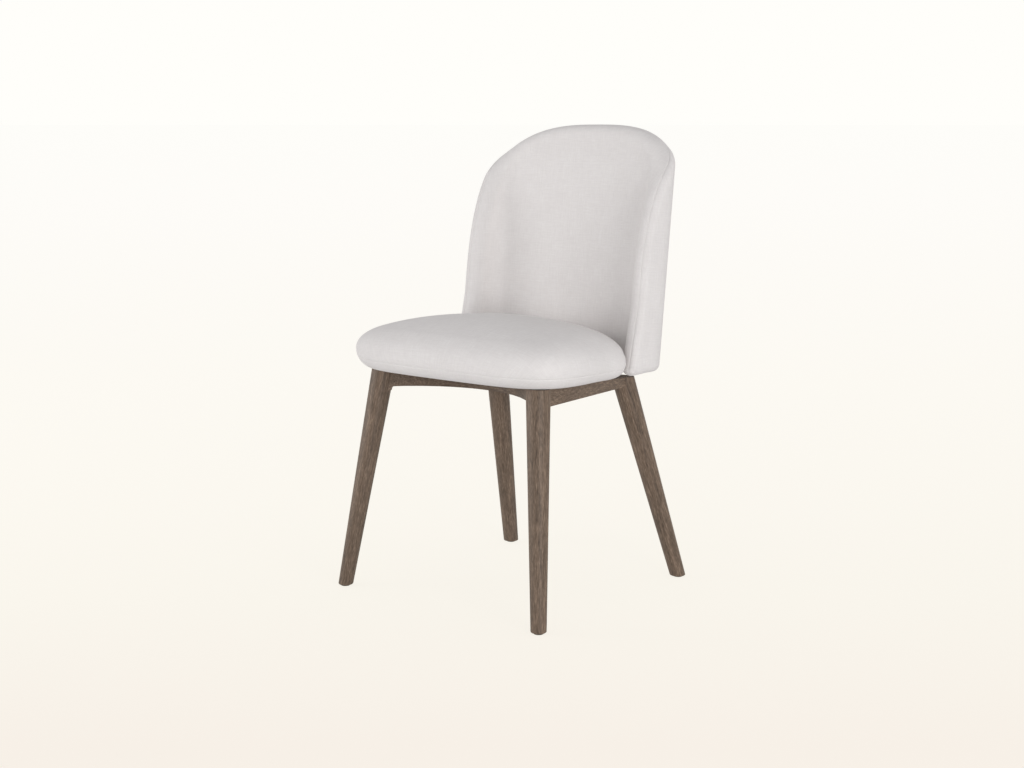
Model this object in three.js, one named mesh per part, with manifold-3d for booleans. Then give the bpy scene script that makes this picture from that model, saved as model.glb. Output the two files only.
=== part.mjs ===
// Upholstered dining chair: a crowned seat and an arched, wrap-round back on four splayed tapered legs.
// Millimetres, +Z up, the sitter faces -Y, and the origin is at floor level in the middle of the chair.
import * as THREE from 'three';
import { mergeVertices } from 'three/addons/utils/BufferGeometryUtils.js';
import Module from 'manifold-3d';

const wasm = await Module();
wasm.setup();

const degree = Math.PI / 180;

// Fits
const touchGap = 0.3; // between two pieces that rest on each other
const cutOverrun = 6; // how far a cutting tool runs past what it cuts

// Stance: where the leg axes meet the floor and how far they lean
const frontFootHalfSpan = 235;
const frontFootForward = 228;
const rearFootHalfSpan = 210;
const rearFootBack = 228;
const frontSplaySide = 6.9 * degree;
const frontSplayFore = 8.1 * degree;
const rearSplaySide = 8 * degree;
const rearSplayAft = 15.7 * degree;

// Legs
const frontLegTopDiameter = 42;
const frontLegFootDiameter = 27;
const rearLegTopDiameter = 43;
const rearLegFootDiameter = 29;
const footChamfer = 2.4;
const legSides = 24;
const legSquareness = 2.2; // exponent of the section: 2 is round, higher is squarer

// Foot glides
const glideDiameter = 17;
const glideThickness = 2;
const glideEdge = 0.7;
const glideStemDiameter = 5;
const glideStemLength = 12;
const glideSides = 10;

// Seat frame: four rails between the leg tops, with level lower edges and tops planed to the seat's tilt
const frameTopHeight = 411.7; // at the axes of the front legs
const frameTilt = 2.8 * degree;
const railDepth = 31.7; // from the frame's top at the front legs down to the rails' level lower edge
const railBottomHeight = frameTopHeight - railDepth;
const railThickness = 22;
const railProud = 15; // from a leg's axis to the outer face of its rail
const frontRailSet = 82; // how far the middle of the front rail's face lies behind the front legs' axes
const frontRailFaceRadius = 210;
const frontRailMiddleWidth = 26;
const frontRailBackRadius = 270;
const frontRailCove = 8; // the quarter round that runs down onto each front leg
const coveSteps = 4;
const arcSteps = 14;

// Dowels
const dowelDiameter = 6;
const dowelInLeg = 12;
const dowelInRail = 20;
const lowDowelRise = 6; // above the rails' lower edge
const highDowelRise = 15;
const dowelSides = 8;

// Corner blocks between the rear and side rails
const blockReach = 96; // along each rail from the leg's axis
const blockNose = 16;
const blockRise = 2; // above the rails' lower edge

// Seat pad
const seatFrontWidth = 484; // where the sides would meet the front
const seatRearWidth = 292; // where the sides would meet the rear
const seatTaperPower = 2.5; // 1 would narrow the sides evenly, more keeps them wide further back
const seatFront = 245; // from the origin to the pad's front, on the centre line
const seatRear = 163;
const seatFrontSquareness = 5.6;
const seatRearSquareness = 4;
const seatFrontBow = 9;
const seatEdgeHeight = 41; // height of the widest line above the pad's underside
const seatTuck = 32; // how far the underside is drawn in
const seatShoulderRise = 43;
const seatShoulderWidth = 70;
const seatShoulderTurn = 65 * degree; // of the shoulder's arc, where the crown takes over
const seatCrown = 28;
const seatCrownForward = 38; // how far the highest point lies in front of the pad's middle
const seatSeamHeight = 20;
const seatSeamGap = 0.5;
const seatTurnUnder = 14; // fabric turned under the board and stapled
const seatSides = 44;
const seatBandSteps = 3;
const seatWallSteps = 2;
const seatShoulderSteps = 5;
const seatCrownSteps = 3;

// Seat board and dust cover
const boardThickness = 12;
const boardEdgeIn = 8; // from the drawn-in underside to the edge of the board
const dustCoverThickness = 0.8;
const dustCoverIn = 4; // from the edge of the turned-under fabric

// Covers
const coverThickness = 1.2;
const foamGap = 0.5;

// Back: a flat arch outline that is bent into a wide arc with two tight wings, then reclined
const backBelowFrame = 10; // how far the back's lower edge hangs below the frame's top at the front legs
const backBottomHeight = frameTopHeight - backBelowFrame;
const backHeight = 460.5; // along the recline
const backRecline = 6.5 * degree;
const backBaseDepth = 188.5; // of the middle of the back's thickness, at its bottom edge
const backHalfGirth = 286; // from the centre line to the wing's edge, along the bend, at the bottom
const backSideTaper = 0.122; // how fast the half girth narrows with height, a slope
const backStraightHeight = 120;
const backArchSquareness = 2.8;
const backThickness = 39;
const backEdgeRadius = 22; // round the front edge
const backRearEdgeRadius = 11;
const backCornerRadius = 24;
const backArcRadius = 530;
const backArcGirth = 177; // half girth of the wide arc
const wingBendRadius = 42;
const wingBendAngle = 73.2 * degree;
const backCrown = 5; // swell of the front face's middle
const wingFill = 8; // extra padding in the hollow of each wing's bend
const wingFillGirth = 62; // on either side of the middle of the bend
const fillRampShare = 0.12; // share of the height over which the extra padding runs in
const backSeamDepth = 27; // from the front face to the seam round the edge
const backSeamGap = 0.5;
const backEdgeSteps = 3;
// Columns of the back's faces, as shares of the half girth, closer where the wings bend
const backColumnShares = [0, 0.3, 0.54, 0.66, 0.75, 0.84, 0.92, 1];
const backSideRows = 4;
const backArchRows = 7;
const archCornerShare = 0.7; // share of the half girth where the arch's side turns into its top

// Moulded plywood shell inside the back
const shellThickness = 9;

// Back brackets: two bent steel straps from under the seat board up the front of the shell
const bracketGirth = 62; // from the centre line, along the bend
const bracketWidth = 32;
const bracketThickness = 4;
const bracketBendRadius = 8;
const bracketRise = 118;
const bracketReach = 116;
const bracketBendSteps = 4;

// Screws, bolts and tee nuts
const screwDiameter = 5;
const screwHeadDiameter = 10;
const screwHeadHeight = 2.6;
const screwInBoard = 9;
const screwInShell = 7;
const screwFromEnd = 10; // along a bracket's leg
const screwPitch = 18;
const boltDiameter = 6;
const boltHeadDiameter = 11;
const boltHeadHeight = 4;
const frontBoltOut = 150;
const frontBoltForward = 131;
const rearBoltOut = 98;
const rearBoltBack = 86;
const teeNutFlange = 17;
const teeNutFlangeThickness = 1.2;
const teeNutBarrel = 9;
const teeNutBarrelHeight = 8;
const fastenerSides = 8;

// Finishes
const walnut = new THREE.MeshStandardMaterial({ color: 0x7b6a5d, roughness: 0.6, metalness: 0 });
const linen = new THREE.MeshStandardMaterial({ color: 0xdad6d3, roughness: 0.95, metalness: 0 });
const foam = new THREE.MeshStandardMaterial({ color: 0xe8dfb8, roughness: 1, metalness: 0 });
const plywood = new THREE.MeshStandardMaterial({ color: 0xc8a878, roughness: 0.7, metalness: 0 });
const beech = new THREE.MeshStandardMaterial({ color: 0xd0b184, roughness: 0.7, metalness: 0 });
const steel = new THREE.MeshStandardMaterial({ color: 0x8c8f93, roughness: 0.35, metalness: 1 });
const nylon = new THREE.MeshStandardMaterial({ color: 0x4a4038, roughness: 0.5, metalness: 0 });
const dustCloth = new THREE.MeshStandardMaterial({ color: 0x2b2927, roughness: 1, metalness: 0 });

// Closed meshes and booleans

function closedGeometry(points, faces) {
  const raw = new THREE.BufferGeometry();
  raw.setAttribute('position', new THREE.Float32BufferAttribute(points.flatMap((p) => [p.x, p.y, p.z]), 3));
  raw.setIndex(faces.flat());
  const merged = mergeVertices(raw);
  const index = Array.from(merged.index.array);
  const kept = [];
  for (let i = 0; i < index.length; i += 3) {
    const [a, b, c] = index.slice(i, i + 3);
    if (a !== b && b !== c && c !== a) kept.push(a, b, c);
  }
  merged.setIndex(kept);
  if (signedVolume(merged) < 0) merged.setIndex(kept.reverse());
  return merged;
}

// One of three's own shapes as a closed mesh, without normals and texture coordinates
function closedFrom(geometry) {
  const bare = geometry.clone();
  bare.deleteAttribute('normal');
  bare.deleteAttribute('uv');
  const merged = mergeVertices(bare);
  const position = merged.attributes.position;
  const points = Array.from({ length: position.count }, (_, i) =>
    new THREE.Vector3().fromBufferAttribute(position, i));
  const index = Array.from(merged.index.array);
  const faces = Array.from({ length: index.length / 3 }, (_, i) => index.slice(i * 3, i * 3 + 3));
  return closedGeometry(points, faces);
}

function signedVolume(geometry) {
  const position = geometry.attributes.position;
  const index = geometry.index.array;
  const corner = (i) => new THREE.Vector3().fromBufferAttribute(position, index[i]);
  let total = 0;
  for (let i = 0; i < index.length; i += 3) {
    total += corner(i).dot(corner(i + 1).cross(corner(i + 2)));
  }
  return total;
}

function toSolid(geometry) {
  const bare = geometry.clone();
  bare.deleteAttribute('normal');
  bare.deleteAttribute('uv');
  const merged = mergeVertices(bare);
  const mesh = new wasm.Mesh({
    numProp: 3,
    vertProperties: new Float32Array(merged.attributes.position.array),
    triVerts: new Uint32Array(merged.index.array),
  });
  return new wasm.Manifold(mesh);
}

function toGeometry(solid) {
  const mesh = solid.getMesh();
  const geometry = new THREE.BufferGeometry();
  geometry.setAttribute('position', new THREE.BufferAttribute(new Float32Array(mesh.vertProperties), 3));
  geometry.setIndex(new THREE.BufferAttribute(new Uint32Array(mesh.triVerts), 1));
  return geometry;
}

function cut(geometry, tools) {
  return toGeometry(tools.reduce((solid, tool) => solid.subtract(toSolid(tool)), toSolid(geometry)));
}

// A solid between a stack of rings of equal length. A ring that has shrunk to a point closes an end.
function ringSolid(rings) {
  const count = rings[0].length;
  const faces = [];
  for (let r = 0; r + 1 < rings.length; r++) {
    for (let i = 0; i < count; i++) {
      const next = (i + 1) % count;
      const [a, b] = [r * count + i, r * count + next];
      const [c, d] = [a + count, b + count];
      faces.push([a, b, d], [a, d, c]);
    }
  }
  return closedGeometry(rings.flat(), faces);
}

function middleOf(ring) {
  return ring.reduce((sum, p) => sum.add(p), new THREE.Vector3()).divideScalar(ring.length);
}

function cappedSolid(rings) {
  const cap = (ring) => ring.map(() => middleOf(ring));
  return ringSolid([cap(rings[0]), ...rings, cap(rings.at(-1))]);
}

function superellipse(angle, squareness) {
  const power = 2 / squareness;
  const [c, s] = [Math.cos(angle), Math.sin(angle)];
  return [Math.sign(c) * Math.abs(c) ** power, Math.sign(s) * Math.abs(s) ** power];
}

// A profile of [radius, height] turned about +Z
function turned(profile, sides) {
  const lathe = new THREE.LatheGeometry(profile.map(([x, y]) => new THREE.Vector2(x, y)), sides);
  return closedFrom(lathe.rotateX(90 * degree));
}

function rodBetween(from, to, radius, sides) {
  const rod = new THREE.CylinderGeometry(radius, radius, from.distanceTo(to), sides).rotateX(90 * degree);
  const way = to.clone().sub(from).normalize();
  rod.applyQuaternion(new THREE.Quaternion().setFromUnitVectors(new THREE.Vector3(0, 0, 1), way));
  const middle = from.clone().add(to).multiplyScalar(0.5);
  return closedFrom(rod.translate(middle.x, middle.y, middle.z));
}

function turnAround(count) {
  return Array.from({ length: count }, (_, i) => (i / count) * Math.PI * 2);
}

// Equal shares up to and including 1
function steps(count) {
  return Array.from({ length: count }, (_, i) => (i + 1) / count);
}

// The seat frame's own axes: origin on the plane of the rails' tops, midway between the front legs' axes,
// and +Z square to the tilted seat

const frontLegTopDepth = -frontFootForward + frameTopHeight * Math.tan(frontSplayFore);
const seatMatrix = new THREE.Matrix4()
  .makeTranslation(0, frontLegTopDepth, frameTopHeight)
  .multiply(new THREE.Matrix4().makeRotationX(-frameTilt));
const inChair = (geometry) => geometry.clone().applyMatrix4(seatMatrix);

function frameTopAt(depth) {
  return frameTopHeight - (depth - frontLegTopDepth) * Math.tan(frameTilt);
}

// Legs

function legSpec(side, front) {
  const foot = front
    ? new THREE.Vector3(side * frontFootHalfSpan, -frontFootForward, 0)
    : new THREE.Vector3(side * rearFootHalfSpan, rearFootBack, 0);
  const lean = front
    ? new THREE.Vector2(-side * Math.tan(frontSplaySide), Math.tan(frontSplayFore))
    : new THREE.Vector2(-side * Math.tan(rearSplaySide), -Math.tan(rearSplayAft));
  const axisAt = (z) => new THREE.Vector3(foot.x + lean.x * z, foot.y + lean.y * z, z);
  const slope = Math.tan(frameTilt);
  const topHeight = (frameTopHeight - (foot.y - frontLegTopDepth) * slope) / (1 + lean.y * slope);
  return {
    side,
    foot,
    axisAt,
    topHeight,
    topRadius: (front ? frontLegTopDiameter : rearLegTopDiameter) / 2,
    footRadius: (front ? frontLegFootDiameter : rearLegFootDiameter) / 2,
  };
}

const legs = {
  front_left: legSpec(-1, true),
  front_right: legSpec(1, true),
  rear_left: legSpec(-1, false),
  rear_right: legSpec(1, false),
};

function legRing(leg, height, grow) {
  const share = height / leg.topHeight;
  const radius = leg.footRadius + (leg.topRadius - leg.footRadius) * share + grow;
  const centre = leg.axisAt(height);
  return turnAround(legSides).map((angle) => {
    const [c, s] = superellipse(angle, legSquareness);
    return new THREE.Vector3(centre.x + radius * c, centre.y + radius * s, height);
  });
}

// The leg runs past the frame's top, where it is planed off. Grown, it is a tool for its neighbours.
function legGeometry(leg, grow = 0) {
  const sole = glideThickness + touchGap;
  return cappedSolid([
    legRing(leg, sole, grow - footChamfer),
    legRing(leg, sole + footChamfer, grow),
    legRing(leg, leg.topHeight + cutOverrun, grow),
  ]);
}

// Foot glides: a nylon disc with a stem that is driven up into the leg

function glideGeometry(grow = 0) {
  const disc = glideDiameter / 2;
  const stem = glideStemDiameter / 2 + grow;
  const stemTop = glideThickness + glideStemLength + grow;
  return turned([
    [0, 0],
    [disc - glideEdge, 0],
    [disc, glideEdge],
    [disc, glideThickness],
    [stem, glideThickness],
    [stem, stemTop],
    [0, stemTop],
  ], glideSides);
}

// Rails: plan outlines pulled up from their level lower edge and planed off at the tilted frame top

const railMiddleHeight = (railBottomHeight + frameTopHeight) / 2;
const jointAt = Object.fromEntries(
  Object.entries(legs).map(([name, leg]) => [name, leg.axisAt(railMiddleHeight)]));

function prism(outline, low, high) {
  const shape = new THREE.Shape(outline.map(([x, y]) => new THREE.Vector2(x, y)));
  const geometry = new THREE.ExtrudeGeometry(shape, { depth: high - low, bevelEnabled: false });
  return closedFrom(geometry.translate(0, 0, low));
}

const planeReach = frontFootForward + rearFootBack;
const frameTopTool = inChair(closedFrom(new THREE.BoxGeometry(planeReach * 2, planeReach * 2, planeReach)
  .translate(0, 0, planeReach / 2 - touchGap)));
const legTools = Object.fromEntries(
  Object.entries(legs).map(([name, leg]) => [name, legGeometry(leg, touchGap)]));

function straightRailOutline(from, to, grow = 0) {
  const along = new THREE.Vector2(to.x - from.x, to.y - from.y).normalize();
  const corner = (end, offset) => [end.x + along.y * offset, end.y - along.x * offset];
  const outer = railProud + grow;
  const inner = railProud - railThickness - grow;
  return [corner(from, outer), corner(to, outer), corner(to, inner), corner(from, inner)];
}

const railOutlines = {
  rail_right: straightRailOutline(jointAt.front_right, jointAt.rear_right),
  rail_rear: straightRailOutline(jointAt.rear_right, jointAt.rear_left),
  rail_left: straightRailOutline(jointAt.rear_left, jointAt.front_left),
};

// A side rail swollen by the clearance, as a tool for what butts against it
function sideRailTool(side) {
  const outline = side > 0
    ? straightRailOutline(jointAt.front_right, jointAt.rear_right, touchGap)
    : straightRailOutline(jointAt.rear_left, jointAt.front_left, touchGap);
  return prism(outline, railBottomHeight - frontRailCove - cutOverrun, frameTopHeight + cutOverrun);
}

function rearRailTool() {
  const outline = straightRailOutline(jointAt.rear_right, jointAt.rear_left, touchGap);
  return prism(outline, railBottomHeight - cutOverrun, frameTopHeight + cutOverrun);
}

function straightRail(name, tools) {
  return cut(prism(railOutlines[name], railBottomHeight, frameTopHeight + cutOverrun),
    [frameTopTool, ...tools]);
}

// The front rail curves back between the front legs and thickens towards them. Its face ends inside the
// legs and its back inside the side rails, which cut it to length.
function arcPoints(depth, radius, halfWidth) {
  return Array.from({ length: arcSteps + 1 }, (_, i) => {
    const x = halfWidth * (2 * i / arcSteps - 1);
    return [x, depth - radius + Math.sqrt(radius ** 2 - x ** 2)];
  });
}

const frontRailDepth = jointAt.front_right.y + frontRailSet;

function frontRailOutline() {
  const face = arcPoints(frontRailDepth, frontRailFaceRadius, jointAt.front_right.x - railProud);
  const back = arcPoints(frontRailDepth + frontRailMiddleWidth, frontRailBackRadius, jointAt.front_right.x);
  return [...face, ...back.reverse()];
}

// A flared collar round a front leg, from which the cove is taken
function coveCollar(leg) {
  const radius = leg.topRadius;
  const profile = [[0, -frontRailCove]];
  for (let i = 0; i <= coveSteps; i++) {
    const angle = (i / coveSteps) * 90 * degree;
    profile.push([radius + frontRailCove * (1 - Math.cos(angle)), frontRailCove * (Math.sin(angle) - 1)]);
  }
  profile.push([radius + frontRailCove, cutOverrun], [0, cutOverrun]);
  const place = leg.axisAt(railBottomHeight);
  return turned(profile, legSides).translate(place.x, place.y, railBottomHeight);
}

function frontRailGeometry(tools) {
  const outline = frontRailOutline();
  const body = toSolid(prism(outline, railBottomHeight, frameTopHeight + cutOverrun));
  const skirt = toSolid(prism(outline, railBottomHeight - frontRailCove, railBottomHeight + cutOverrun));
  const collars = toSolid(coveCollar(legs.front_left)).add(toSolid(coveCollar(legs.front_right)));
  const rail = toGeometry(body.add(skirt.intersect(collars)));
  return cut(rail, [frameTopTool, legTools.front_left, legTools.front_right, sideRailTool(-1), sideRailTool(1),
    ...tools]);
}

// Corner blocks, a blunt triangle in plan, glued into the rear corners of the frame

function blockGeometry(side, tools) {
  const joint = side > 0 ? jointAt.rear_right : jointAt.rear_left;
  const long = blockReach - blockNose;
  const outline = [[0, 0], [long, 0], [long, blockNose], [blockNose, long], [0, long]]
    .map(([inward, forward]) => [joint.x - side * inward, joint.y - forward]);
  const block = prism(outline, railBottomHeight + blockRise, frameTopHeight + cutOverrun);
  const leg = side > 0 ? legTools.rear_right : legTools.rear_left;
  return cut(block, [frameTopTool, leg, sideRailTool(side), rearRailTool(), ...tools]);
}

// Dowels: two at each end of each rail, on level lines from the leg into the rail

function levelDirection(from, to) {
  return new THREE.Vector3(to.x - from.x, to.y - from.y, 0).normalize();
}

const railCentre = railProud - railThickness / 2;
// Along the front rail's middle line where it meets a leg
const frontRailWay = new THREE.Vector3(-jointAt.front_right.x / 2, frontRailSet - frontRailMiddleWidth / 2, 0);

function dowelEnds() {
  return [[-1, 'left'], [1, 'right']].flatMap(([side, hand]) => {
    const front = jointAt[`front_${hand}`];
    const rear = jointAt[`rear_${hand}`];
    const back = levelDirection(front, rear);
    const sideways = new THREE.Vector3(side * railCentre, 0, 0);
    const inwards = new THREE.Vector3(-side, 0, 0);
    const curve = new THREE.Vector3(side * frontRailWay.x, frontRailWay.y, 0).normalize();
    return [
      { rail: `rail_${hand}`, leg: `front_${hand}`, way: back, shift: sideways },
      { rail: `rail_${hand}`, leg: `rear_${hand}`, way: back.clone().negate(), shift: sideways },
      { rail: 'rail_front', leg: `front_${hand}`, way: curve, shift: new THREE.Vector3() },
      { rail: 'rail_rear', leg: `rear_${hand}`, way: inwards, shift: new THREE.Vector3(0, railCentre, 0) },
    ];
  });
}

const dowels = dowelEnds().flatMap(({ rail, leg, way, shift }) => [lowDowelRise, highDowelRise].map((rise, i) => {
  const height = railBottomHeight + rise;
  const start = legs[leg].axisAt(height).add(shift);
  const legRadius = legs[leg].topRadius;
  return {
    name: `dowel_${rail.replace('rail_', '')}_to_${leg}_${i + 1}`,
    rail,
    leg,
    from: start.clone().addScaledVector(way, legRadius - dowelInLeg),
    to: start.clone().addScaledVector(way, legRadius + dowelInRail),
  };
}));

function dowelTool({ from, to }) {
  const way = to.clone().sub(from).normalize();
  const start = from.clone().addScaledVector(way, -touchGap);
  const end = to.clone().addScaledVector(way, touchGap);
  return rodBetween(start, end, dowelDiameter / 2 + touchGap, dowelSides);
}

// Back surface: girth runs round the bend, rise runs up the recline, and out is the distance
// in front of the middle of the thickness

function bendAt(girth) {
  const side = Math.sign(girth);
  const length = Math.abs(girth);
  const arc = Math.min(length, backArcGirth);
  const bend = Math.min(Math.max(length - backArcGirth, 0), wingBendRadius * wingBendAngle);
  const straight = length - arc - bend;
  const arcAngle = arc / backArcRadius;
  const angle = arcAngle + bend / wingBendRadius;
  const x = backArcRadius * Math.sin(arcAngle)
    + wingBendRadius * (Math.sin(angle) - Math.sin(arcAngle)) + straight * Math.cos(angle);
  const forward = backArcRadius * (1 - Math.cos(arcAngle))
    + wingBendRadius * (Math.cos(arcAngle) - Math.cos(angle)) + straight * Math.sin(angle);
  return { x: side * x, forward, angle: side * angle };
}

function backPoint(girth, rise, out) {
  const { x, forward, angle } = bendAt(girth);
  const ahead = forward + out * Math.cos(angle);
  const lift = rise * Math.cos(backRecline) + ahead * Math.sin(backRecline);
  const depth = backBaseDepth + rise * Math.sin(backRecline) - ahead * Math.cos(backRecline);
  return new THREE.Vector3(x - out * Math.sin(angle), depth, backBottomHeight + lift);
}

// The arch outline at an inset from its edge: the side from the bottom corner up to the arch's corner, and
// the bottom and top lines between the two sides
const backColumns = [...backColumnShares.slice(1).map((share) => -share).reverse(), ...backColumnShares];
const backRows = backSideRows + backArchRows;

function archOutline(inset) {
  const halfAt = (rise) => backHalfGirth - rise * backSideTaper - inset;
  const radius = Math.max(backCornerRadius - inset, coverThickness);
  const slack = radius * (1 - Math.SQRT1_2);
  const bottomHalf = halfAt(0);
  const archHalf = halfAt(backStraightHeight);
  const archHeight = backHeight - inset - backStraightHeight;
  const side = [[bottomHalf - slack, inset + slack]];
  for (let i = 1; i <= backSideRows; i++) {
    const start = inset + radius;
    const rise = start + (backStraightHeight - start) * ((i - 1) / (backSideRows - 1));
    side.push([halfAt(rise), rise]);
  }
  const cornerAngle = Math.acos(archCornerShare ** (backArchSquareness / 2));
  for (let i = 1; i <= backArchRows; i++) {
    const [c, s] = superellipse((i / backArchRows) * cornerAngle, backArchSquareness);
    side.push([archHalf * c, backStraightHeight + archHeight * s]);
  }
  const bottom = backColumns.map((share) => {
    const past = Math.max(Math.abs(share) * (bottomHalf - slack) - (bottomHalf - radius), 0);
    return inset + radius - Math.sqrt(radius ** 2 - past ** 2);
  });
  const top = backColumns.map((share) => {
    const across = Math.abs(share) * archCornerShare;
    return backStraightHeight + archHeight * (1 - across ** backArchSquareness) ** (1 / backArchSquareness);
  });
  return { side, bottom, top };
}

// How far the padded front face stands forward, over its middle and in the hollows of the wings
function padding(share, girth, up) {
  const fromBend = (Math.abs(girth) - backArcGirth - wingBendRadius * wingBendAngle / 2) / wingFillGirth;
  const ramp = Math.min(1, up / fillRampShare, (1 - up) / fillRampShare);
  const fill = wingFill * Math.max(0, 1 - fromBend ** 2) ** 2 * ramp;
  return (1 - share ** 2) * (backCrown * 4 * up * (1 - up) + fill);
}

// Every point of a face at one inset and one distance out, row by row
function backFace(inset, out, padded) {
  const { side, bottom, top } = archOutline(inset);
  const low = side[0][1];
  const high = side[backRows][1];
  return side.map(([half, rise]) => backColumns.map((share, j) => {
    const up = (rise - low) / (high - low);
    const shift = (1 - up) * (bottom[j] - low) + up * (top[j] - high);
    const swell = padded ? padding(share, share * half, up) : 0;
    return backPoint(share * half, rise + shift, out + swell);
  }));
}

function borderOf(rows) {
  const last = rows.length - 1;
  const inner = rows.slice(1, last);
  return [
    ...rows[0],
    ...inner.map((row) => row.at(-1)),
    ...rows[last].slice().reverse(),
    ...inner.map((row) => row[0]).reverse(),
  ];
}

// Two triangles, split from the first corner to the third or from the second to the fourth
function splitQuad([a, b, c, d], fromFirst) {
  return fromFirst ? [[a, b, c], [a, c, d]] : [[a, b, d], [b, c, d]];
}

// A solid that runs from a first face over edge rings to a last face, each given as [inset, out, padded].
// Nested solids are split along the same diagonals, mirrored left to right, so that they don't touch.
function backSolid(profile) {
  const points = [];
  const faces = [];
  const keep = (list) => list.map((point) => points.push(point) - 1);
  const rings = profile.map(([inset, out, padded], k) => {
    const rows = backFace(inset, out, padded);
    if (k > 0 && k < profile.length - 1) return keep(borderOf(rows));
    const ids = rows.map(keep);
    for (let i = 0; i < backRows; i++) {
      for (let j = 0; j + 1 < backColumns.length; j++) {
        const quad = [ids[i][j], ids[i][j + 1], ids[i + 1][j + 1], ids[i + 1][j]];
        const right = backColumns[j] >= 0;
        if (k === 0) faces.push(...splitQuad(quad, right));
        else faces.push(...splitQuad(quad.reverse(), !right));
      }
    }
    return borderOf(ids);
  });
  for (let k = 0; k + 1 < rings.length; k++) {
    for (let i = 0; i < rings[k].length; i++) {
      const next = (i + 1) % rings[k].length;
      const quad = [rings[k][i], rings[k + 1][i], rings[k + 1][next], rings[k][next]];
      const right = points[quad[0]].x + points[quad[3]].x > 0;
      const outwards = profile[k][0] > profile[k + 1][0];
      faces.push(...splitQuad(quad, outwards === right));
    }
  }
  return closedGeometry(points, faces);
}

const halfBack = backThickness / 2;
const seamOut = halfBack - backSeamDepth;

// A quarter round from a face to the edge, at a depth below the outer surface
function edgeRound(radius, depth) {
  return steps(backEdgeSteps).map((share) => [
    radius - (radius - depth) * Math.sin(share * 90 * degree),
    halfBack - radius + (radius - depth) * Math.cos(share * 90 * degree),
  ]);
}

function frontSkin(depth) {
  return [[backEdgeRadius, halfBack - depth, true], ...edgeRound(backEdgeRadius, depth)];
}

function rearSkin(depth) {
  const round = edgeRound(backRearEdgeRadius, depth).map(([inset, out]) => [inset, -out]);
  return [[backRearEdgeRadius, depth - halfBack], ...round];
}

// The front cover wraps round the edge to the seam
function frontCoverGeometry() {
  const hem = seamOut + backSeamGap / 2;
  return backSolid([
    ...frontSkin(0),
    [0, hem],
    [coverThickness, hem],
    ...frontSkin(coverThickness).reverse(),
  ]);
}

function rearCoverGeometry() {
  const hem = seamOut - backSeamGap / 2;
  return backSolid([
    ...rearSkin(0),
    [0, hem],
    [coverThickness, hem],
    ...rearSkin(coverThickness).reverse(),
  ]);
}

const foamDepth = coverThickness + foamGap;
const shellRearOut = foamDepth + touchGap - halfBack;
const shellFrontOut = shellRearOut + shellThickness;

// The foam wraps the shell from the front and round its edge, and the shell's back stays bare
function backFoamGeometry(tools) {
  const recess = shellFrontOut + foamGap;
  return cut(backSolid([
    ...frontSkin(foamDepth),
    ...rearSkin(foamDepth).reverse(),
    [backRearEdgeRadius, recess],
    [backRearEdgeRadius + foamGap, recess],
  ]), tools);
}

function backShellGeometry(tools) {
  const rim = backRearEdgeRadius + foamGap;
  return cut(backSolid([[rim, shellRearOut], [rim, shellFrontOut]]), tools);
}

// Seat pad: rings round a tapered outline, in the seat frame's axes

const padMiddle = (seatRear - seatFront) / 2 - frontLegTopDepth;
const padHalfDepth = (seatRear + seatFront) / 2;

function seatRing([inset, height, shrink]) {
  const centre = padMiddle - seatCrownForward * shrink;
  return turnAround(seatSides).map((angle) => {
    const front = Math.sin(angle) < 0;
    const [c, s] = superellipse(angle, front ? seatFrontSquareness : seatRearSquareness);
    const taper = ((s + 1) / 2) ** seatTaperPower;
    const halfWidth = THREE.MathUtils.lerp(seatFrontWidth, seatRearWidth, taper) / 2 - inset;
    const bow = front ? -seatFrontBow * c ** 2 * s : 0;
    const depth = s * (padHalfDepth - inset) + bow;
    return new THREE.Vector3(c * halfWidth * (1 - shrink), centre + depth * (1 - shrink), height);
  });
}

const seatSolid = (profile) => ringSolid(profile.map(seatRing));

// A point of the pad's lower quarter round, from the drawn-in underside to the widest line
function lowerEdge(depth, angle) {
  const drawnIn = seatTuck - (seatTuck - depth) * Math.sin(angle);
  return [drawnIn, seatEdgeHeight - (seatEdgeHeight - touchGap - depth) * Math.cos(angle), 0];
}

function shoulderPoint(depth, angle) {
  return [
    seatShoulderWidth - (seatShoulderWidth - depth) * Math.cos(angle),
    seatEdgeHeight + (seatShoulderRise - depth) * Math.sin(angle),
    0,
  ];
}

function shoulder(depth) {
  return steps(seatShoulderSteps).map((share) => shoulderPoint(depth, share * seatShoulderTurn));
}

function crownOver(depth) {
  const [inset, height] = shoulderPoint(depth, seatShoulderTurn);
  return steps(seatCrownSteps).map((share) => [inset, height + seatCrown * (1 - (1 - share) ** 2), share]);
}

const seamAngle = Math.acos(1 - seatSeamHeight / seatEdgeHeight);
const seamGapAngle = seatSeamGap / seatEdgeHeight;

function topCoverGeometry() {
  const skin = (depth) => [
    lowerEdge(depth, seamAngle),
    ...steps(seatWallSteps).map((share) => lowerEdge(depth, seamAngle + share * (90 * degree - seamAngle))),
    ...shoulder(depth),
    ...crownOver(depth),
  ];
  return seatSolid([...skin(0).reverse(), ...skin(coverThickness)]);
}

// The border below the seam, with its lower edge turned under the board
function bandGeometry() {
  const skin = (depth) => [
    [seatTuck + seatTurnUnder, touchGap + depth, 0],
    lowerEdge(depth, 0),
    ...steps(seatBandSteps).map((share) => lowerEdge(depth, share * (seamAngle - seamGapAngle))),
  ];
  const loop = [...skin(0), ...skin(coverThickness).reverse()];
  return seatSolid([...loop, loop[0]]);
}

const boardInset = seatTuck + boardEdgeIn;
const boardBottom = touchGap + coverThickness + foamGap;
const boardTop = boardBottom + boardThickness;

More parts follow.
